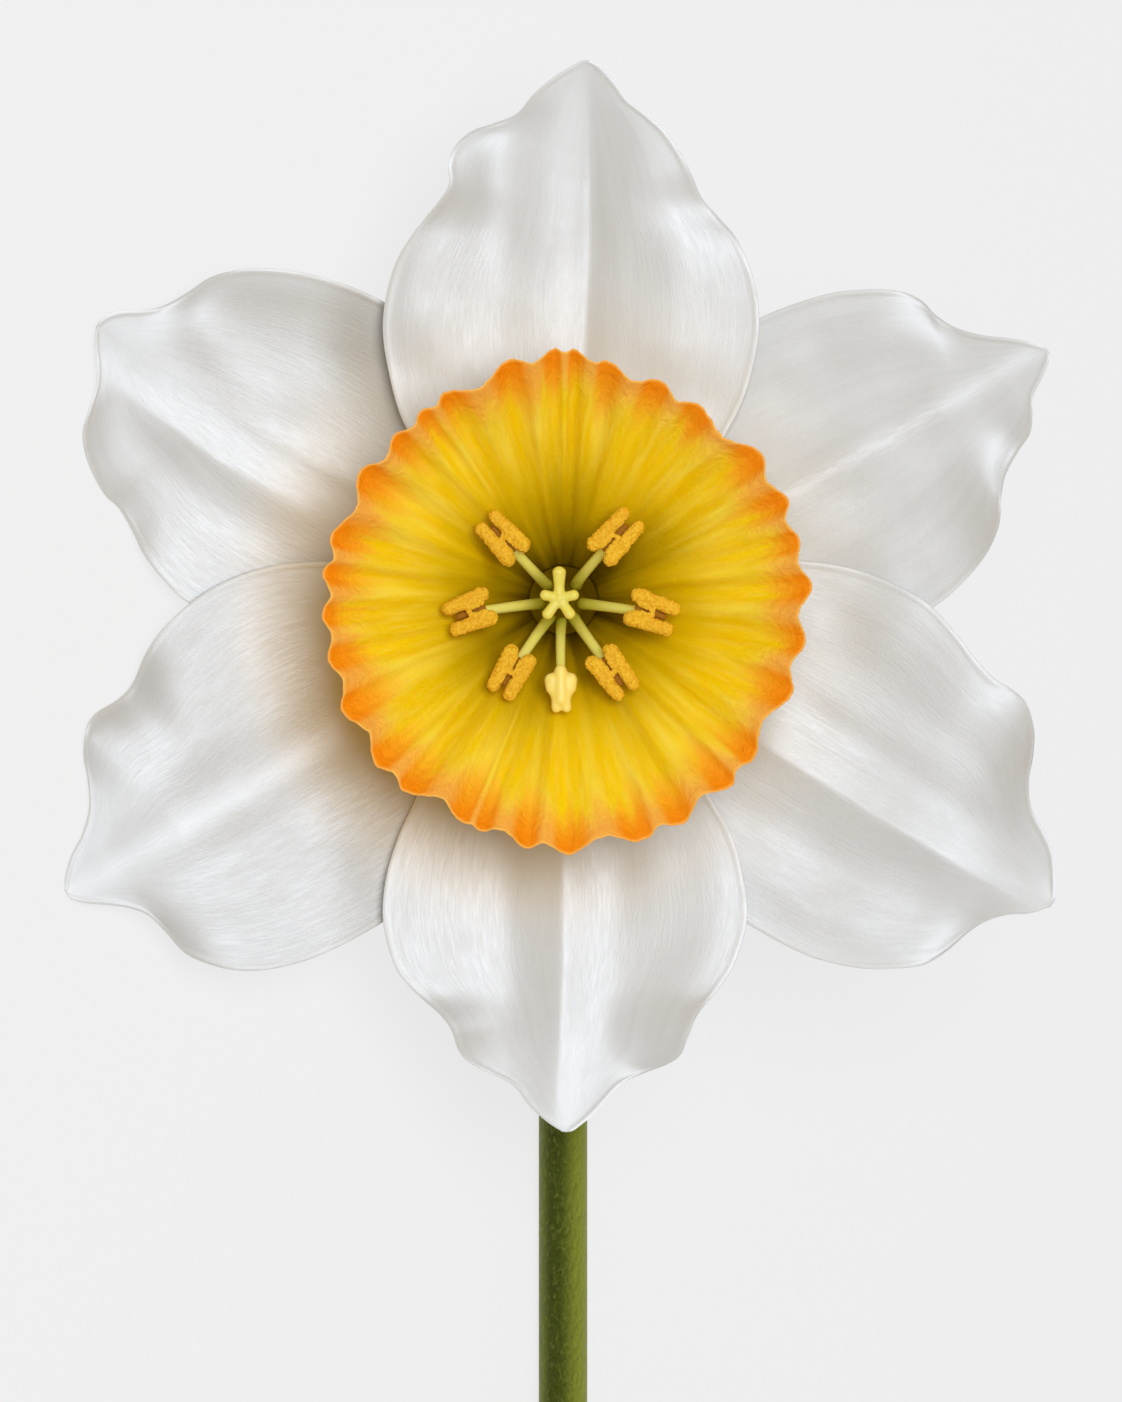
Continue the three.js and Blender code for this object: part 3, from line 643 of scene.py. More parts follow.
def petal_finish(colours):
    """Satin white, with fine fibres that run from root to tip. Painted light on it: a warm shade
    and glow by the cup, the shadow of an overlapping petal, shade over a whole petal, and a pale
    midrib that is partly a painted highlight.
    """
    finish = Finish("white_petal")
    fibre = finish.attribute("fibre", "Vector")
    veins = finish.noise(finish.scaled(fibre, (0.8, 0.05, 1)), 1, 3, 0.5)
    threads = finish.noise(finish.scaled(fibre, (4, 0.4, 1)), 1, 2, 0.6)
    cells = finish.noise(finish.scaled(fibre, (5, 3, 1)), 1, 2)
    # The second term is painted shade over the whole petal, towards the fibres' darker colour.
    fibres = finish.math(
        "ADD", finish.remap(veins, 0.4, 0.75, 0, 0.5), finish.attribute("painted_petal_shade")
    )
    white = finish.mix(fibres, colours.petal, colours.petal_shade)
    # Painted shadow of an overlapping petal, in khaki.
    shaded = finish.math("MULTIPLY", finish.attribute("painted_overlap_shadow"), 0.65)
    white = finish.mix(shaded, white, srgb(163, 154, 134))
    # A pale midrib, partly the petal's own and partly a painted highlight.
    pale = finish.math(
        "MULTIPLY", finish.attribute("midrib_highlight"), finish.remap(threads, 0.35, 0.65, 0.2, 0.6)
    )
    white = finish.mix(pale, white, srgb(232, 233, 234))
    # Painted warm shade and glow by the cup.
    warm = finish.mix(finish.attribute("painted_cup_shade_and_glow"), white, colours.cup_shade_and_glow_colour)
    breadth = finish.attribute("breadth")
    relief = finish.bump(
        finish.math("MULTIPLY", threads, breadth), 0.013,
        finish.bump(finish.math("MULTIPLY", cells, breadth), 0.006),
    )
    finish.set(
        base_color=warm,
        roughness=finish.remap(threads, 0.3, 0.7, 0.35, 0.41),
        specular_ior_level=1,
        specular_tint=(0.8, 0.88, 1, 1),
        subsurface_weight=0.3,
        subsurface_scale=0.9 * MM,
        subsurface_radius=(1, 0.9, 0.75),
        sheen_weight=0.05,
        normal=relief,
    )
    return finish.material


def cup_finish(colours):
    """Yellow from an olive throat, darkened deep down with painted shade, to an orange rim, in
    streaks that run up the cup's flutes.
    """
    finish = Finish("orange_cup")
    streak = finish.attribute("streak", "Vector")
    radius = finish.attribute("radius")
    from_rim = finish.attribute("from_rim")
    crest = finish.attribute("crest")
    broad = finish.noise(finish.scaled(streak, (3.4, 3.4, 0.4)), 1, 2, 0.5)
    soft = finish.noise(finish.scaled(streak, (8, 8, 0.6)), 1, 2, 0.5)
    fine = finish.noise(finish.scaled(streak, (30, 30, 2)), 1, 3, 0.55)
    # Painted shade: the darkest browns deep in the throat, and the soft dark wedges that the
    # broad noise shifts there between the organs, darken the throat's own olive.
    depth = finish.math("ADD", radius, finish.remap(broad, 0.3, 0.7, -1.3, 1.3))
    body = finish.ramp(finish.remap(depth, 2, 22), [
        (0, srgb(80, 60, 0)),
        (0.03, srgb(112, 88, 0)),
        (0.1, colours.cup_throat),
        (0.25, srgb(190, 157, 0)),
        (0.5, srgb(226, 189, 0)),
        (1, colours.cup),
    ])
    outer = finish.remap(radius, 8, 18)
    pale = finish.math("MULTIPLY", finish.remap(soft, 0.45, 0.7, 0, 0.75), outer)
    body = finish.mix(pale, body, colours.cup_streak)
    threads = finish.math("MULTIPLY", finish.remap(fine, 0.4, 0.75, 0, 0.18), outer)
    body = finish.mix(threads, body, srgb(255, 236, 130))
    reach = finish.math("ADD", finish.remap(crest, 0, 1, 3, 5.4), finish.remap(
        soft, 0.3, 0.7, -1.8, 1.8
    ))
    reach = finish.math("ADD", reach, finish.remap(fine, 0.25, 0.75, -0.7, 0.7))
    share = finish.math("DIVIDE", from_rim, reach)
    body = finish.mix(finish.remap(share, 1.5, 0.5, 0, 0.9), body, colours.cup_rim_pale)
    body = finish.mix(finish.remap(share, 0.9, 0.05, 0, 0.95), body, colours.cup_rim)
    fingers = finish.math(
        "MULTIPLY", finish.remap(crest, 0.7, 0.05), finish.remap(from_rim, 7, 0, 0, 0.65)
    )
    body = finish.mix(fingers, body, srgb(255, 190, 90))
    body = finish.mix(finish.remap(from_rim, 0.2, 0.02, 0, 0.5), body, srgb(255, 184, 96))
    wrinkles = finish.noise(finish.scaled(streak, (26, 26, 9)), 1, 2, 0.5)
    wrinkles = finish.math("MULTIPLY", wrinkles, finish.remap(from_rim, 8, 2))
    crinkle = finish.noise(finish.place(), 2200, 3, 0.65)
    relief = finish.bump(finish.math("MULTIPLY", fine, outer), 0.14, finish.bump(
        wrinkles, 0.2, finish.bump(crinkle, 0.06)
    ))
    finish.set(
        base_color=body,
        roughness=finish.remap(crinkle, 0.3, 0.7, 0.36, 0.48),
        specular_ior_level=0.28,
        specular_tint=(1, 0.85, 0.35, 1),
        subsurface_weight=0.35,
        subsurface_scale=0.8 * MM,
        subsurface_radius=(1, 0.6, 0.15),
        normal=relief,
    )
    return finish.material


def green_finish(name, dark, light, mottle, gloss):
    """Waxy green skin with darker and lighter patches, painted rim light along its flanks and a
    fine pebbled relief.
    """
    finish = Finish(name)
    place = finish.place()
    patches = finish.noise(finish.scaled(place, (700, 160, 700)), 1, 4, 0.6)
    pebbles = finish.noise(finish.scaled(place, (2800, 1500, 2800)), 1, 3, 0.6)
    pores = finish.cells(finish.scaled(place, (1, 0.6, 1)), 1700)
    skin = finish.mix(finish.remap(patches, 0.3, 0.7), dark, light)
    skin = finish.mix(finish.remap(pebbles, 0.5, 0.75, 0, mottle), skin, srgb(150, 156, 70))
    # Painted rim light along the flanks.
    skin = finish.mix(finish.attribute("painted_rim_light"), skin, srgb(176, 184, 66))
    relief = finish.bump(pores, 0.14, finish.bump(pebbles, 0.3))
    finish.set(
        base_color=skin,
        roughness=finish.remap(pebbles, 0.3, 0.7, gloss, gloss + 0.14),
        specular_ior_level=0.42,
        specular_tint=(0.7, 0.85, 0.25, 1),
        subsurface_weight=0.1,
        subsurface_scale=0.8 * MM,
        subsurface_radius=(0.6, 1, 0.2),
        normal=relief,
    )
    return finish.material


def pollen_finish(colours):
    """Amber grains, with painted highlight on their tops and painted shade between them and in
    the cleft between the sacs.
    """
    finish = Finish("pollen")
    grain = finish.attribute("grain")
    tint = finish.noise(finish.place(), 900, 3)
    # Painted highlight on the grain tops and painted shade between them.
    grains = finish.ramp(grain, [
        (0, srgb(222, 166, 22)), (0.5, srgb(232, 182, 36)), (1, colours.pollen),
    ])
    grains = finish.mix(finish.remap(tint, 0.35, 0.7, 0, 0.5), grains, srgb(230, 172, 36))
    # Painted shade in the cleft between the sacs.
    grains = finish.mix(finish.attribute("cleft"), grains, srgb(164, 106, 10))
    finish.set(
        base_color=grains,
        roughness=0.75,
        specular_ior_level=0.25,
        subsurface_weight=0.2,
        subsurface_scale=0.4 * MM,
        subsurface_radius=(1, 0.6, 0.2),
        normal=finish.bump(finish.cells(finish.place(), 9000), 0.03),
    )
    return finish.material


def fleshy_finish(name, root, tip, start, end):
    """Smooth moist tissue, coloured from root to tip along the flower's own height, with a faint
    painted glow on the inside of the tube.
    """
    finish = Finish(name)
    height = finish.attribute("height")
    cloud = finish.noise(finish.place(), 1100, 3)
    tissue = finish.mix(finish.remap(height, start, end), root, tip)
    tissue = finish.mix(finish.remap(cloud, 0.4, 0.75, 0, 0.25), tissue, srgb(238, 226, 150))
    inner = finish.attribute("inner")
    tissue = finish.mix(inner, tissue, srgb(190, 160, 16))
    finish.set(
        base_color=tissue,
        roughness=finish.remap(inner, 0, 1, 0.42, 0.9),
        specular_ior_level=finish.remap(inner, 0, 1, 0.45, 0),
        # A faint painted glow on the inside faces of the tube, standing in for light that reaches
        # deep into it.
        emission_color=srgb(255, 206, 0) + (1,),
        emission_strength=finish.remap(inner, 0, 1, 0, 0.025),
        subsurface_weight=0.35,
        subsurface_scale=0.5 * MM,
        subsurface_radius=(1, 0.8, 0.3),
        normal=finish.bump(finish.noise(finish.place(), 3000, 2), 0.02),
    )
    return finish.material


def paper_finish():
    """Dry, papery and veined."""
    finish = Finish("dry_sheath")
    fibre = finish.attribute("fibre", "Vector")
    veins = finish.noise(finish.scaled(fibre, (26, 0.9, 1)), 1, 3, 0.6)
    patches = finish.noise(finish.scaled(fibre, (3, 2.2, 1)), 1, 4, 0.6)
    paper = finish.mix(
        finish.remap(patches, 0.3, 0.7), srgb(214, 193, 156), srgb(238, 226, 200)
    )
    paper = finish.mix(finish.remap(veins, 0.5, 0.72, 0, 0.5), paper, srgb(176, 142, 98))
    finish.set(
        base_color=paper,
        roughness=0.62,
        specular_ior_level=0.3,
        subsurface_weight=0.2,
        subsurface_scale=0.6 * MM,
        normal=finish.bump(veins, 0.12, finish.bump(patches, 0.25)),
    )
    return finish.material


# ------------------------------------------------------------------ petals


def fold_height(petal, along, across):
    """How much the folds raise the petal at a place along its axis and sideways."""
    total = 0
    for height, width, sharpness, line in petal["folds"]:
        start, end = line[0][0], line[-1][0]
        if start < along < end + FOLD_FADE:
            rise = smooth(along, start, start + FOLD_FADE)
            rise *= 1 - smooth(along, end, end + FOLD_FADE)
            aside = abs(across - line_at(line, along)) / width
            total += height * rise * math.exp(-(aside**sharpness))
    return total


def petal_height(petal, along, across, u, v):
    """Height of a petal's front face above the throat."""
    share = (math.hypot(along, across) - PETAL_ROOT) / (petal["reach"] - PETAL_ROOT)
    share = min(max(share, 0), 1)
    height = petal["rise"] * share**PETAL_BOWL - petal["layer"] * PETAL_LAYER_STEP
    taper = min(1, 4 * (1 - v))
    height += fold_height(petal, along, across) * taper
    for side, place, length, wave in petal["ruffles"]:
        if side * u > 0:
            bell = math.exp(-(((v - place) / length) ** 2))
            height += wave * taper * abs(u) ** 3 * bell
    return height


def make_petal(petal, number, sizes, material):
    """A petal from a flat grid: shaped, then given its back face and its margin."""
    bead = sizes.petal_bead / MM
    thickness = sizes.petal_thickness / MM
    inner = 1 - MARGIN_COLUMNS / PETAL_COLUMNS
    margin_start = 1 - MARGIN_WIDTH / PETAL_HALF_WIDTH
    margins = {1: Path(petal["left"]), -1: Path(petal["right"])}
    tip = (margins[1].at(1) + margins[-1].at(1)) / 2
    petal = {**petal, "reach": tip.length}
    turn = Matrix.Rotation(math.radians(petal["axis"]), 3, "Z")

    bm = bmesh.new()
    fibre = bm.verts.layers.float_vector.new("fibre")
    painted_cup_shade_and_glow, midrib_highlight, breadth, painted_petal_shade, painted_overlap_shadow, wall = float_layers(
        bm, "painted_cup_shade_and_glow", "midrib_highlight", "breadth", "painted_petal_shade", "painted_overlap_shadow", "wall"
    )
    bmesh.ops.create_grid(bm, x_segments=2 * PETAL_COLUMNS, y_segments=PETAL_ROWS, size=1)
    edges = {}
    for vert in bm.verts:
        side = -1 if vert.co.x > 0 else 1
        share = abs(vert.co.x)
        if share <= inner:
            share *= margin_start / inner
        else:
            past = (share - inner) / (1 - inner)
            share = lerp(margin_start, 1, 1 - (1 - past) ** MARGIN_SPREAD)
        v = 1 - (0.5 - vert.co.y / 2) ** ROW_SPREAD
        key = (side, round(vert.co.y, 5))
        if key not in edges:
            edges[key] = margins[side].at(v)
        edge = edges[key]
        rib = Vector((lerp(PETAL_ROOT, tip.x, v), tip.y * smooth(v, 0.6, 1)))
        flat = rib.lerp(edge, share)
        width = (edge - rib).length
        inset = (1 - share) * width
        height = petal_height(petal, flat.x, flat.y, side * share, v)
        height += bead * math.exp(-(((inset - BEAD_INSET) / BEAD_HALF_WIDTH) ** 2))
        drift = Vector((flat.x / DRIFT_LENGTH, flat.y / DRIFT_BREADTH, number * 7))
        fade = smooth(inset, 0, min(DRIFT_FADE, width))
        height += DRIFT_HEIGHT * noise.noise(drift) * fade
        place = turn @ Vector((flat.x, flat.y, 0))
        vert.co = along_sight(place.x, place.y, height)
        vert[fibre] = (side * share * PETAL_HALF_WIDTH, v * PETAL_LENGTH, number * 9)
        vert[breadth] = min(width / PETAL_HALF_WIDTH, 1)
        # The pale midrib: partly the petal's own paler midrib, partly a painted highlight along
        # its crest.
        aside = (flat.y - line_at(petal["midrib_highlight"], flat.x)) / MIDRIB_HALF_WIDTH
        vert[midrib_highlight] = petal["midrib_tint"] * math.exp(-(aside**2)) * smooth(flat.x, 14, 24)
        # Painted shade and glow: a warm tint near the cup, strongest on the side away from the
        # light, stands in for the cup's shadow and the orange light that it passes and throws.
        shade = max(0, place.normalized().dot(polar(SHADE_SIDE, 1))) ** 1.5
        near_cup = 1 - smooth(flat.length, 22, 33)
        vert[painted_cup_shade_and_glow] = near_cup * lerp(LIGHT_SIDE_CUP_GLOW, 1, shade)
        # Painted shadow of the petal before this one, out to a reach that grows with the angle
        # from the axis.
        turned_by = math.degrees(math.atan2(flat.y, flat.x)) * petal.get("shaded_side", 0)
        reach = OVERLAP_REACH + OVERLAP_SPREAD * (turned_by - OVERLAP_TURN)
        within = 1 - smooth(flat.length, reach - 3, reach + 4)
        vert[painted_overlap_shadow] = smooth(turned_by, 4, 15) * within
        # Painted shade that darkens the whole petal.
        vert[painted_petal_shade] = petal.get("painted_petal_shade", 0)
        thin = lerp(THIN_EDGE, 1, smooth(inset, 0, 1))
        vert[wall] = thickness * thin * smooth(1 - v, -0.04, 0.03)
    for vert in give_back(bm, wall):
        vert[painted_cup_shade_and_glow] *= BACK_CUP_SHADE_AND_GLOW
        vert[painted_overlap_shadow] = 0
    return finished(bm, petal["name"], [petal["node"]], material)


# ------------------------------------------------------------------ the cup


def rim_at(degrees):
    """(radius of the scalloped rim, 1 on a crest and 0 midway between two) at an angle."""
    for (start, low), (end, high) in zip(RIM_CRESTS, RIM_CRESTS[1:] + RIM_CRESTS[:1]):
        span = (end - start) % 360
        share = ((degrees - start) % 360) / span
        if share <= 1:
            sag = min(CUP_SCALLOP * span, CUP_SCALLOP_MOST) * math.sin(math.pi * share) ** 2
            return lerp(low, high, share) - sag, math.cos(math.pi * share) ** 2
    return RIM_CRESTS[0][1], 1


def make_cup(sizes, material):
    """The trumpet, turned from the section of its wall and then fluted."""
    wall, lip = sizes.cup_wall / MM, sizes.cup_lip / MM
    inside = Path(CUP_INSIDE)
    rim_height = CUP_INSIDE[-1][1]
    length = inside.lengths[-1]
    section = []
    for index in range(CUP_POINTS + 1):
        share = index / CUP_POINTS
        ahead = inside.at(min(share + 0.02, 1)) - inside.at(max(share - 0.02, 0))
        ahead.normalize()
        out = Vector((ahead.y, -ahead.x)) * lerp(wall, lip, smooth(share, 0.5, 0.98))
        section.append((share, inside.at(share), out))
    _, end, out = section[-1]
    edge_radius = end.x + out.x
    ahead = Vector((-out.y, out.x))

    bm = bmesh.new()
    (way,) = float_layers(bm, "way")
    outline = [(share, point + out) for share, point, out in section]
    for turn in range(30, 180, 30):
        angle = math.radians(turn)
        outline.append((1, end + out * (1 + math.cos(angle)) / 2 + ahead * math.sin(angle) / 2))
    outline += [(share, point) for share, point, out in reversed(section)]
    verts = []
    for share, point in outline:
        vert = bm.verts.new((point.x, 0, point.y))
        vert[way] = share
        verts.append(vert)
    edges = [bm.edges.new(pair) for pair in zip(verts, verts[1:] + verts[:1])]
    spin_round(bm, verts + edges, CUP_TURNS)
    bmesh.ops.recalc_face_normals(bm, faces=bm.faces)

    streak = bm.verts.layers.float_vector.new("streak")
    radius_layer, from_rim, crest_layer = float_layers(bm, "radius", "from_rim", "crest")
    for vert in bm.verts:
        share = vert[way]
        radius = math.hypot(vert.co.x, vert.co.y)
        angle = math.atan2(vert.co.y, vert.co.x)
        ring = Vector((math.cos(angle), math.sin(angle), 0))
        rim, crest = rim_at(math.degrees(angle) % 360)
        rise = max((vert.co.z - CUP_FLUTE_START) / (rim_height - CUP_FLUTE_START), 0)
        wave = (rim - edge_radius) * rise**1.6
        flute = smooth(share, 0.3, 0.78) * (1 - smooth(share, 0.78, 1))
        wave += CUP_FLUTE_DEPTH * (crest - 0.6) * flute
        # Broad swells, folds, flutes and threads, each shallower than the one before.
        wave += 0.6 * noise.noise(ring * 3.5) * math.sin(math.pi * share) ** 1.5
        wave += 0.5 * noise.noise(ring * 8 + UP * 3) * math.sin(math.pi * share)
        wave += 0.16 * noise.noise(ring * 24 + UP * (9 + 2 * share)) * smooth(share, 0.3, 0.7)
        wave += 0.07 * noise.noise(ring * 60 + UP * (5 + 9 * share)) * smooth(share, 0.4, 0.8)
        vert[streak] = (ring.x, ring.y, share * 3)
        vert[radius_layer] = radius
        vert[from_rim] = (1 - share) * length
        vert[crest_layer] = crest
        vert.co = ring * (radius + wave) + UP * (vert.co.z - CUP_DIP * wave)
        vert.co += CUP_CENTRE * max(vert.co.z / rim_height, 0)
    return finished(bm, "cup", ["corona"], material)


# ------------------------------------------------------------------ stamens and pistil


def organ_point(degrees, radius, height):
    """A point round the style, which leans a little to the left as it rises."""
    return polar(degrees, radius, height) + STAMEN_CENTRE * smooth(
        height, TUBE_FLOOR, STAMEN_HEIGHT
    )


def note_height(bm):
    """Keeps each point's height in the flower, for colours that change along it."""
    (height,) = float_layers(bm, "height")
    for vert in bm.verts:
        vert[height] = vert.co.z
    return bm


def make_filament(name, node, degrees, reach, top, thick, material):
    path = Path([
        organ_point(degrees, STAMEN_ROOT, STAMEN_ROOT_HEIGHT),
        organ_point(degrees, STAMEN_ROOT + 0.1, 0),
        organ_point(degrees, 0.55 * reach, 0.55 * top),
        organ_point(degrees, reach, top),
    ])
    bm = bent_rod(path, lambda share: thick * (1.04 - 0.26 * share), 20, 48)
    return finished(note_height(bm), name, [node], material)


def make_anther(number, anther, sizes, material):
    """Two long sacs side by side, each split at its inner end, under a crust of pollen."""
    bm = bmesh.new()
    degrees, reach, turn, length, breadth = anther
    centre = organ_point(degrees, reach, STAMEN_HEIGHT)
    at = points_round(centre, degrees + turn, length, breadth)
    for side in (1, -1):
        add_round_rod(bm, at(-1.65, side * 0.94), at(1.75, side * 0.82), 0.7, 0.62, 0.9)
        add_round_rod(bm, at(-1.35, side * 0.42, 0.16), at(0, side * 0.26, 0.24), 0.32, 0.22)
    add_round_rod(bm, at(-0.05, 0.2, 0.2), at(0.1, -0.2, 0.2), 0.24, 0.22)
    add_round_rod(bm, at(-1.2, 0, -0.5), at(1.1, 0, -0.55), 0.42, 0.36)
    bm = fused(bm, 0.07, 1)
    bm.normal_update()
    grain, cleft = float_layers(bm, "grain", "cleft")
    size = sizes.pollen_grain / MM
    across = polar(degrees + turn + 90, 1)
    for vert in bm.verts:
        spread, _ = noise.voronoi(vert.co / size + UP * number * 5)
        share = max(0, 1 - (spread[0] / 0.75) ** 2)
        lump = noise.noise(vert.co * 1.6 + UP * number)
        vert[grain] = share
        aside = abs((vert.co - centre).dot(across))
        # The cleft between the sacs, where the finish paints shade and the pollen crust is
        # thinner.
        vert[cleft] = smooth(vert.co.z - centre.z, 0.4, -0.1) * smooth(aside, 0.6, 0.3)
        bulge = 0.42 * size * share + 0.1 * lump - 0.04
        vert.co += vert.normal * bulge * (1 - 0.8 * vert[cleft])
    return finished(bm, f"anther_pollen_{number}", [f"anther_{number}"], material)


def make_pale_head(material):
    """The smooth pale head: a ringed knob, two ears, and a column on two round feet."""
    degrees, reach = PALE_ORGAN
    bm = bmesh.new()
    at = points_round(organ_point(degrees, reach, STAMEN_HEIGHT - PALE_HEAD_DROP), degrees)
    add_round_rod(bm, at(-1.7, 0, 0.2), at(-1.5, 0, 0.2), 0.6, 0.6)
    add_round_rod(bm, at(-1.5, 0, 0.3), at(1, 0, 0.34), 0.52, 0.56)
    for side in (1, -1):
        add_round_rod(bm, at(-0.85, side * 0.88), at(-0.1, side * 0.84), 0.68, 0.62, 0.85)
        add_round_rod(bm, at(-0.1, side * 0.7), at(0.9, side * 0.4), 0.6, 0.5, 0.85)
        add_round_rod(bm, at(0.6, side * 0.4, 0.1), at(1.75, side * 0.48, 0.1), 0.52, 0.48, 0.9)
    bm = fused(bm, 0.11, 12)
    return finished(
        note_height(bm), "pale_organ_head", ["pale_stamen_head"], material
    )


def make_stigma(material):
    hub = organ_point(0, 0, STAMEN_HEIGHT)
    bm = bmesh.new()
    add_round_rod(bm, hub - UP * 1.05, hub + UP * 0.1, 0.66, 0.56)
    for degrees, length, waist, end in STIGMA_LOBES:
        reach = hub + polar(degrees, length, 0.25)
        middle = hub + polar(degrees, 0.55 * length, 0.12)
        add_round_rod(bm, hub, middle, waist + 0.04, waist)
        add_round_rod(bm, middle, reach, waist, end)
    bm = fused(bm, 0.065, 8)
    return finished(note_height(bm), "stigma_star", ["stigma"], material)


def make_style(material):
    path = Path([
        organ_point(0, 0, TUBE_FLOOR + GAP),
        organ_point(0, 0, 0),
        organ_point(0, 0, STAMEN_HEIGHT - 1.1),
    ])
    bm = bent_rod(path, lambda share: 0.7 - 0.08 * share, 20, 40)
    return finished(note_height(bm), "style_column", ["style"], material)


# ------------------------------------------------------------------ behind the flower


def make_tube(material):
    """The hollow tube behind the petals, with six low ribs."""
    ribs, rib_height = 6, 0.12
    ribbed_from = 2.45  # the radius up to which the tube's floor stays plain
    outside = Path([
        (2.6, -12.6), (2.9, -10), (3.8, -6.6), (4.65, -4.4), (4.7, -2), (4.7, 0.2),
    ])
    inside = Path([(3.6, 0.2), (3.3, -4), (2.4, -8), (1.9, TUBE_FLOOR)])
    profile = [(0, -12.6)]
    profile += sampled(outside, 30)
    profile += sampled(inside, 24)
    profile += [(0, TUBE_FLOOR)]
    bm = turned(profile, 96)
    for vert in bm.verts:
        angle = math.atan2(vert.co.y, vert.co.x)
        rib = rib_height * math.cos(ribs * angle) * smooth(-vert.co.z, 1, 5)
        radius = math.hypot(vert.co.x, vert.co.y)
        if radius > ribbed_from:
            vert.co.x *= 1 - (rib_height - rib) / radius
            vert.co.y *= 1 - (rib_height - rib) / radius
    note_height(bm)
    (inner,) = float_layers(bm, "inner")
    bm.normal_update()
    for vert in bm.verts:
        ring = Vector((vert.co.x, vert.co.y, 0)).normalized()
        # inner marks the inside faces, which the finish colours and gives a faint painted glow.
        vert[inner] = 1 - smooth(vert.normal.dot(ring), 0.3, 0.8)
    return finished(bm, "flower_tube", ["perianth_tube"], material)


def make_ovary(material):
    """The ovary, with three shallow grooves."""
    top, bottom = -12.9, -20.2
    groove_depth = 0.05
    profile = [(0, bottom)]
    outline = Path([
        (1.9, bottom), (2.95, bottom + 1.6), (3.35, (top + bottom) / 2), (3.05, top - 1.8),
        (2.4, top),
    ])
    profile += sampled(outline, 40)
    profile += [(0, top)]
    bm = turned(profile, 96)
    for vert in bm.verts:
        angle = math.atan2(vert.co.y, vert.co.x)
        groove = 1 - groove_depth * max(0, math.cos(3 * angle)) ** 6
        vert.co.x *= groove
        vert.co.y *= groove
    return finished(note_height(bm), "seed_ovary", ["ovary"], material)


def painted_rim_light_share(side):
    """How much painted rim light pales the stem, from its left edge at -1 to its right edge at 1.
    """
    return 0.62 * smooth(side, -0.25, 1) + 0.25 * smooth(side, -0.5, -1)


def make_pedicel(material):
    """The flower stalk turns through a right angle from the ovary to the top of the stem."""
    bend, top, into_stem = 8, -20.5, 0.4
    points = [(0, 0, top)]
    for step in range(1, 7):
        t = step / 6
        across = (1 - t) ** 2
        over = 2 * t * (1 - t)
        down = top * across - STEM_DEPTH * (over + t * t)
        points.append((0, -bend * t * t, down))
    points += [(0, below, -STEM_DEPTH) for below in (-12, -18, STEM_TOP - into_stem)]
    bm = bent_rod(
        Path(points),
        lambda share: STALK_RADIUS - STALK_WAIST * math.sin(math.pi * share),
        48, 90,
    )
    (painted_rim_light,) = float_layers(bm, "painted_rim_light")
    for vert in bm.verts:
        vert[painted_rim_light] = painted_rim_light_share(vert.co.x / STALK_RADIUS)
    return finished(bm, "flower_stalk", ["pedicel"], material)


def make_stem(material):
    """The cut scape: a smooth stalk with two faint edges and a hollow cut end."""
    path = Path([
        (0, STEM_CUT, -STEM_DEPTH), (0, (STEM_CUT + STEM_TOP) / 2, -STEM_DEPTH),
        (0, STEM_TOP, -STEM_DEPTH),
    ])
    bm = bent_rod(
        path,
        lambda share: STEM_RADIUS * (1 - STEM_NECK * smooth(share, STEM_NECK_START, 1)),
        64, 250,
    )
    bm.normal_update()
    cut = [
        face for face in bm.faces
        if len(face.verts) > 4 and face.calc_center_median().y < STEM_CUT + 1
    ]
    for thickness, depth in CUT_RINGS:
        bmesh.ops.inset_individual(
            bm, faces=cut, thickness=thickness, depth=depth, use_even_offset=True
        )
    (painted_rim_light,) = float_layers(bm, "painted_rim_light")
    for vert in bm.verts:
        out = Vector((vert.co.x, 0, vert.co.z + STEM_DEPTH))
        vert[painted_rim_light] = painted_rim_light_share(out.normalized().x)
        if out.length > 0.8 * STEM_RADIUS:
            angle = math.atan2(out.z, out.x)
            swell = noise.noise(Vector((vert.co.y / STEM_SWELL_LENGTH, 3, 0)))
            shrink = STEM_FLAT * (1 - math.cos(2 * angle)) / 2 + STEM_SWELL * swell
            vert.co -= out * max(shrink, 0)
    return finished(bm, "cut_stem", ["stem"], material)


def make_sheath(material):
    """The dry papery sheath at the top of the stem, a tapering half tube beside the stalk."""
    length, thickness, inner = 34, 0.25, 2.5
    bm = bmesh.new()
    fibre = bm.verts.layers.float_vector.new("fibre")
    (wall,) = float_layers(bm, "wall")
    bmesh.ops.create_grid(bm, x_segments=40, y_segments=90, size=1)
    for vert in bm.verts:
        x, share = vert.co.x, (vert.co.y + 1) / 2
        taper = math.sqrt(1 - (0.96 * share) ** 2)
        half_width = math.radians(72) * taper
        half_width *= 1 + 0.09 * noise.noise(Vector((share * 7, 5 * x, 4)))
        angle = math.radians(20 - 25 * share) + x * half_width
        pleat = 0.2 * math.sin(x * 17 + 2 * share) * smooth(share, 0.05, 0.5) * taper**3
        crumple = 0.5 * noise.noise(Vector((x * 1.7, share * 5, 2))) * smooth(share, 0.1, 0.8)
        radius = inner + 0.3 + 1.6 * math.sin(share * 2.6) + pleat + crumple
        vert.co = Vector((
            math.cos(angle) * radius + 2.2 * share * share,
            STEM_TOP + 2 + length * (share - 0.07 * x * x * smooth(share, 0.5, 1)),
            math.sin(angle) * radius - STEM_DEPTH,
        ))
        vert[fibre] = (x, share * 4, 1)
        vert[wall] = thickness
    bmesh.ops.recalc_face_normals(bm, faces=bm.faces)
    give_back(bm, wall)
    return finished(bm, "papery_sheath", ["spathe"], material)


# ------------------------------------------------------------------ the stage

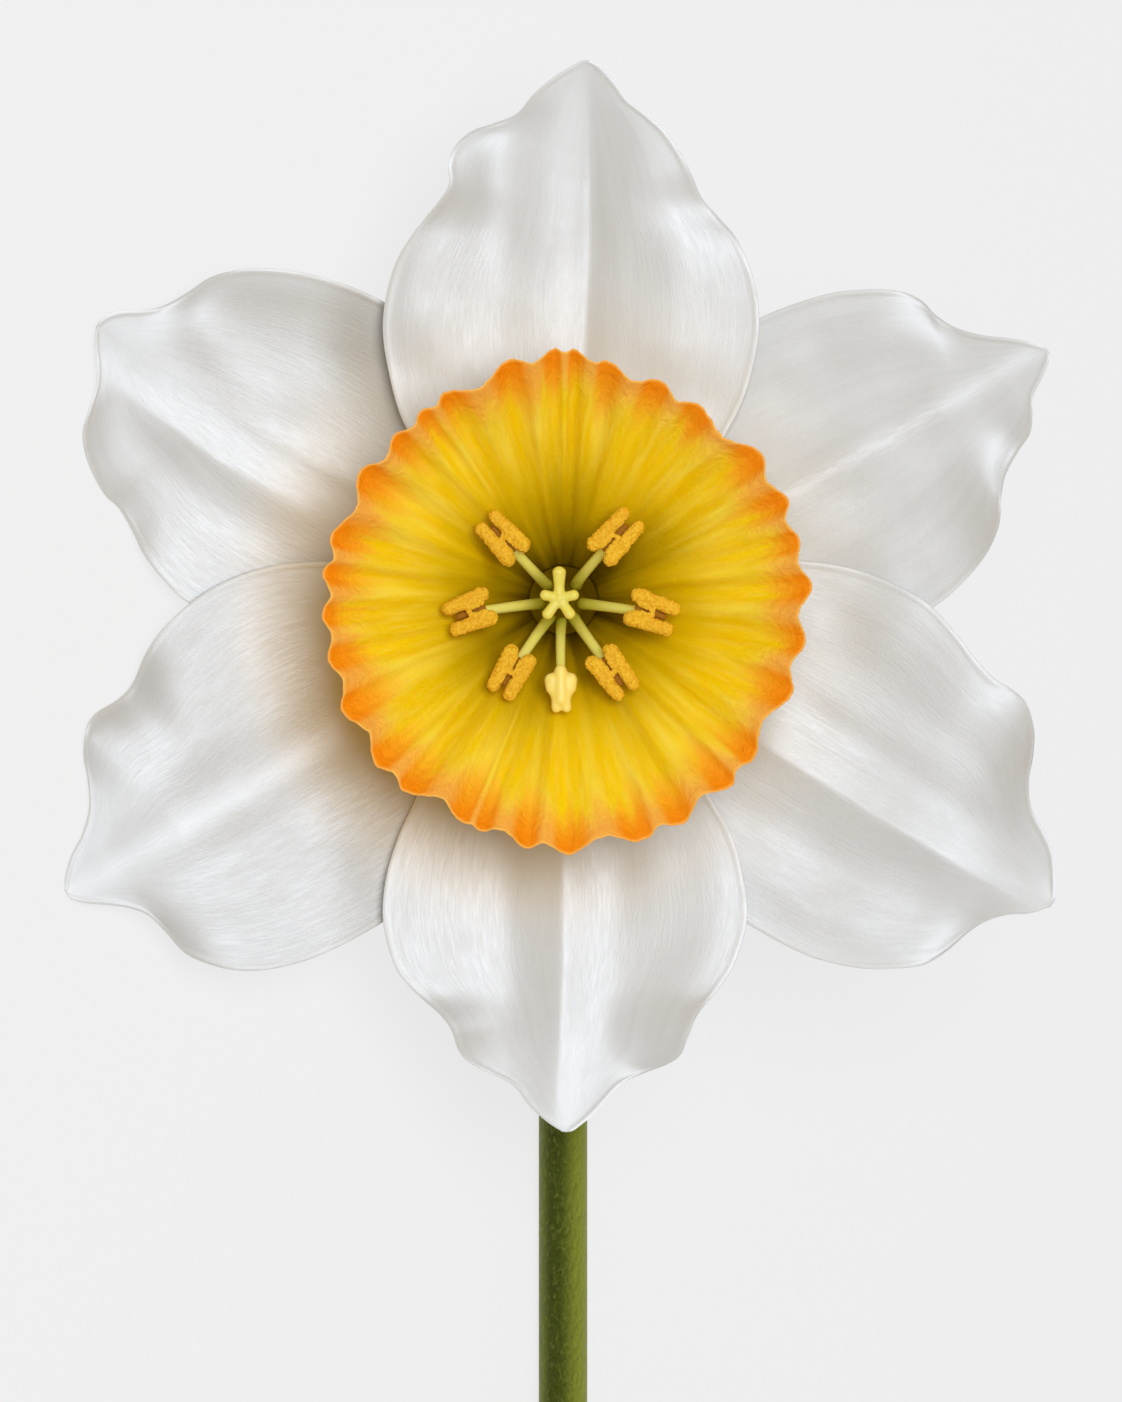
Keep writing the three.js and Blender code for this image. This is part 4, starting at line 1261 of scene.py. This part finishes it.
FLOOR_RADIUS = 3  # in metres, as the key light's size
FLOOR_SIDES = 96
FLOOR_DROP = 0.02  # below the flower's lowest point
KEY_DIRECTION = Vector((0.18, 0.105, 1))
KEY_DISTANCE = 600
KEY_SIZE = 0.28


def make_floor(light):
    finish = Finish("pale_floor")
    finish.set(
        base_color=(0.12, 0.12, 0.12, 1), roughness=0.9, specular_ior_level=0.1,
        emission_color=(1, 1, 1, 1), emission_strength=light.floor_glow,
    )
    bm = bmesh.new()
    bmesh.ops.create_circle(bm, cap_ends=True, segments=FLOOR_SIDES, radius=FLOOR_RADIUS)
    bmesh.ops.translate(bm, verts=bm.verts, vec=(0, 0, -FLOOR_DROP * MM))
    mesh = bpy.data.meshes.new("floor")
    bm.to_mesh(mesh)
    bm.free()
    mesh.materials.append(finish.material)
    floor = bpy.data.objects.new("floor", mesh)
    bpy.context.scene.collection.objects.link(floor)


def make_surroundings(scene, light):
    world = bpy.data.worlds.new("pale_surroundings")
    world.use_nodes = True
    tree = world.node_tree
    fill = tree.nodes["Background"]
    fill.inputs["Color"].default_value = (1, 0.995, 0.985, 1)
    fill.inputs["Strength"].default_value = light.sky
    backdrop = tree.nodes.new("ShaderNodeBackground")
    backdrop.inputs["Color"].default_value = (1, 1, 1, 1)
    backdrop.inputs["Strength"].default_value = light.backdrop
    paths = tree.nodes.new("ShaderNodeLightPath")
    either = tree.nodes.new("ShaderNodeMixShader")
    tree.links.new(paths.outputs["Is Camera Ray"], either.inputs["Fac"])
    tree.links.new(fill.outputs["Background"], either.inputs[1])
    tree.links.new(backdrop.outputs["Background"], either.inputs[2])
    tree.links.new(either.outputs["Shader"], tree.nodes["World Output"].inputs["Surface"])
    scene.world = world


def make_key_light(light):
    """One wide round light, above the flower's right shoulder and aimed at the throat."""
    data = bpy.data.lights.new("key_light", "AREA")
    data.shape = "DISK"
    data.size = KEY_SIZE
    data.energy = light.key_power
    data.color = (0.97, 0.985, 1)
    key = bpy.data.objects.new("key_light", data)
    place = HEAD @ (KEY_DIRECTION.normalized() * KEY_DISTANCE)
    key.location = place
    key.rotation_euler = (THROAT - place).to_track_quat("-Z", "Y").to_euler()
    bpy.context.scene.collection.objects.link(key)


def make_camera(scene):
    """The camera looks straight down on the flower's face, as the photograph does."""
    data = bpy.data.cameras.new("camera")
    data.sensor_width = 36
    data.lens = 150
    data.clip_start = 0.01
    data.clip_end = 20
    camera = bpy.data.objects.new("camera", data)
    camera.matrix_world = (
        Matrix.Translation(HEAD @ EYE) @ Matrix.Rotation(-LEAN, 4, "Y")
    )
    scene.collection.objects.link(camera)
    scene.camera = camera


# ------------------------------------------------------------------ settings


class NARCISSUS_PG_sizes(PropertyGroup):
    petal_thickness: FloatProperty(
        name="Petal thickness",
        description="Thickness of a petal away from its margin",
        default=0.6 * MM, unit="LENGTH", precision=5,
    )
    petal_bead: FloatProperty(
        name="Petal margin bead",
        description="How far a petal's rolled margin stands up from its face",
        default=0.035 * MM, unit="LENGTH", precision=5,
    )
    cup_wall: FloatProperty(
        name="Cup wall",
        description="Thickness of the wall of the cup",
        default=0.62 * MM, unit="LENGTH", precision=5,
    )
    cup_lip: FloatProperty(
        name="Cup lip",
        description="Thickness of the cup's wall at its rim",
        default=0.2 * MM, unit="LENGTH", precision=5,
    )
    pollen_grain: FloatProperty(
        name="Pollen grain",
        description="Width of a clump of pollen on an anther",
        default=0.26 * MM, unit="LENGTH", precision=5,
    )


class NARCISSUS_PG_colours(PropertyGroup):
    petal: FloatVectorProperty(
        name="Petal", description="Main colour of the petals", subtype="COLOR",
        default=srgb(202, 200, 195),
    )
    # Also the colour that painted shade darkens a whole petal towards.
    petal_shade: FloatVectorProperty(
        name="Petal fibres", description="Colour of the petals' lengthwise fibres",
        subtype="COLOR", default=srgb(193, 190, 184),
    )
    # The warm colour of the painted shade and glow near the cup, not the petal's own colour.
    cup_shade_and_glow_colour: FloatVectorProperty(
        name="Petal cup shade and glow", description="Warm colour of the petals close to the cup",
        subtype="COLOR", default=srgb(207, 174, 98),
    )
    cup: FloatVectorProperty(
        name="Cup", description="Main colour of the cup", subtype="COLOR",
        default=srgb(255, 214, 10),
    )
    cup_throat: FloatVectorProperty(
        name="Cup throat", description="Colour deep in the cup", subtype="COLOR",
        default=srgb(152, 124, 0),
    )
    cup_streak: FloatVectorProperty(
        name="Cup streaks", description="Colour of the soft streaks up the cup",
        subtype="COLOR", default=srgb(255, 230, 80),
    )
    cup_rim: FloatVectorProperty(
        name="Cup rim", description="Colour of the crests of the rim", subtype="COLOR",
        default=srgb(255, 142, 8),
    )
    cup_rim_pale: FloatVectorProperty(
        name="Cup rim, inner", description="Colour where the orange of the rim fades",
        subtype="COLOR", default=srgb(255, 176, 34),
    )
    stem: FloatVectorProperty(
        name="Stem", description="Main colour of the stem", subtype="COLOR",
        default=srgb(57, 63, 1),
    )
    pollen: FloatVectorProperty(
        name="Pollen", description="Colour of the pollen", subtype="COLOR",
        default=srgb(242, 196, 56),
    )


class NARCISSUS_PG_light(PropertyGroup):
    key_power: FloatProperty(
        name="Key light", description="Power of the soft key light", default=2.4,
        unit="POWER",
    )
    sky: FloatProperty(
        name="Surrounding light", description="Brightness of the pale surroundings",
        default=0.37,
    )
    backdrop: FloatProperty(
        name="Backdrop", description="Brightness of what shows behind the floor",
        default=0.87,
    )
    floor_glow: FloatProperty(
        name="Floor glow", description="Light given off by the pale floor", default=0.755,
    )


# ------------------------------------------------------------------ operators


class NARCISSUS_OT_petals(Operator):
    """Make the six petals"""

    bl_idname = "narcissus.petals"
    bl_label = "Petals"

    def execute(self, context):
        material = petal_finish(context.scene.narcissus_colours)
        for number, petal in enumerate(PETALS):
            make_petal(petal, number, context.scene.narcissus_sizes, material)
        return {"FINISHED"}


class NARCISSUS_OT_cup(Operator):
    """Make the fluted cup"""

    bl_idname = "narcissus.cup"
    bl_label = "Cup"

    def execute(self, context):
        make_cup(context.scene.narcissus_sizes, cup_finish(context.scene.narcissus_colours))
        return {"FINISHED"}


class NARCISSUS_OT_stamens(Operator):
    """Make the six stamens and the pale organ between the lower two"""

    bl_idname = "narcissus.stamens"
    bl_label = "Stamens"

    def execute(self, context):
        sizes = context.scene.narcissus_sizes
        pollen = pollen_finish(context.scene.narcissus_colours)
        stalk = fleshy_finish("filament", srgb(228, 224, 36), srgb(236, 233, 118), -2, 7)
        cream = fleshy_finish("cream", srgb(214, 178, 50), srgb(246, 222, 112), 7.8, 9.6)
        for index, anther in enumerate(ANTHERS):
            number = index + 1
            degrees, reach = anther[:2]
            make_filament(
                f"stamen_filament_{number}", f"filament_{number}", degrees,
                reach - FILAMENT_REACH, STAMEN_HEIGHT - FILAMENT_DROP - GAP,
                FILAMENT_RADIUS, stalk,
            )
            make_anther(number, anther, sizes, pollen)
        degrees, reach = PALE_ORGAN
        make_filament(
            "pale_organ_filament", "pale_stamen_filament", degrees,
            reach - PALE_FILAMENT_REACH,
            STAMEN_HEIGHT - PALE_HEAD_DROP - PALE_FILAMENT_DROP - GAP,
            PALE_FILAMENT_RADIUS, stalk,
        )
        make_pale_head(cream)
        return {"FINISHED"}


class NARCISSUS_OT_pistil(Operator):
    """Make the style and its star of stigma lobes"""

    bl_idname = "narcissus.pistil"
    bl_label = "Pistil"

    def execute(self, context):
        make_style(
            fleshy_finish("style", srgb(140, 146, 30), srgb(206, 206, 96), -6, 8)
        )
        make_stigma(
            fleshy_finish("stigma", srgb(180, 172, 36), srgb(228, 216, 90), 8.2, 9.7)
        )
        return {"FINISHED"}


class NARCISSUS_OT_back(Operator):
    """Make the tube and the ovary behind the flower"""

    bl_idname = "narcissus.back"
    bl_label = "Tube and Ovary"

    def execute(self, context):
        make_tube(
            fleshy_finish("pale_tube", srgb(150, 166, 84), srgb(226, 228, 196), -13, -1)
        )
        make_ovary(green_finish(
            "green_ovary", srgb(70, 96, 26), srgb(120, 148, 54), 0.25, 0.3
        ))
        return {"FINISHED"}


class NARCISSUS_OT_stem(Operator):
    """Make the cut stem, the flower stalk and the papery sheath"""

    bl_idname = "narcissus.stem"
    bl_label = "Stem"

    def execute(self, context):
        green = context.scene.narcissus_colours.stem
        material = green_finish("green_stem", srgb(46, 50, 1), tuple(green), 0.3, 0.34)
        make_stem(material)
        make_pedicel(material)
        make_sheath(paper_finish())
        return {"FINISHED"}


class NARCISSUS_OT_stage(Operator):
    """Make the pale floor, the soft studio light and the camera"""

    bl_idname = "narcissus.stage"
    bl_label = "Stage"

    def execute(self, context):
        scene = context.scene
        light = scene.narcissus_light
        make_floor(light)
        make_surroundings(scene, light)
        make_key_light(light)
        make_camera(scene)
        scene.view_settings.view_transform = "Standard"
        return {"FINISHED"}


# ------------------------------------------------------------------ the panel


class NARCISSUS_PT_panel(Panel):
    """The flower's pieces and settings"""

    bl_idname = "NARCISSUS_PT_panel"
    bl_label = "Narcissus Flower"
    bl_space_type = "VIEW_3D"
    bl_region_type = "UI"
    bl_category = "Narcissus"

    def draw(self, context):
        scene = context.scene
        for step in STEPS:
            self.layout.operator(step.bl_idname)
        for group in (scene.narcissus_sizes, scene.narcissus_colours, scene.narcissus_light):
            box = self.layout.box()
            for name in group.bl_rna.properties.keys():
                if name not in ("rna_type", "name"):
                    box.prop(group, name)


STEPS = (
    NARCISSUS_OT_petals, NARCISSUS_OT_cup, NARCISSUS_OT_stamens, NARCISSUS_OT_pistil,
    NARCISSUS_OT_back, NARCISSUS_OT_stem, NARCISSUS_OT_stage,
)
GROUPS = {
    "narcissus_sizes": NARCISSUS_PG_sizes,
    "narcissus_colours": NARCISSUS_PG_colours,
    "narcissus_light": NARCISSUS_PG_light,
}


def register():
    for cls in (*GROUPS.values(), *STEPS, NARCISSUS_PT_panel):
        bpy.utils.register_class(cls)
    for name, group in GROUPS.items():
        setattr(bpy.types.Scene, name, PointerProperty(type=group))


def unregister():
    for name in GROUPS:
        delattr(bpy.types.Scene, name)
    for cls in (NARCISSUS_PT_panel, *reversed(STEPS), *GROUPS.values()):
        bpy.utils.unregister_class(cls)


def main():
    register()
    for step in STEPS:
        group, action = step.bl_idname.split(".")
        getattr(getattr(bpy.ops, group), action)()


if __name__ == "__main__":
    main()
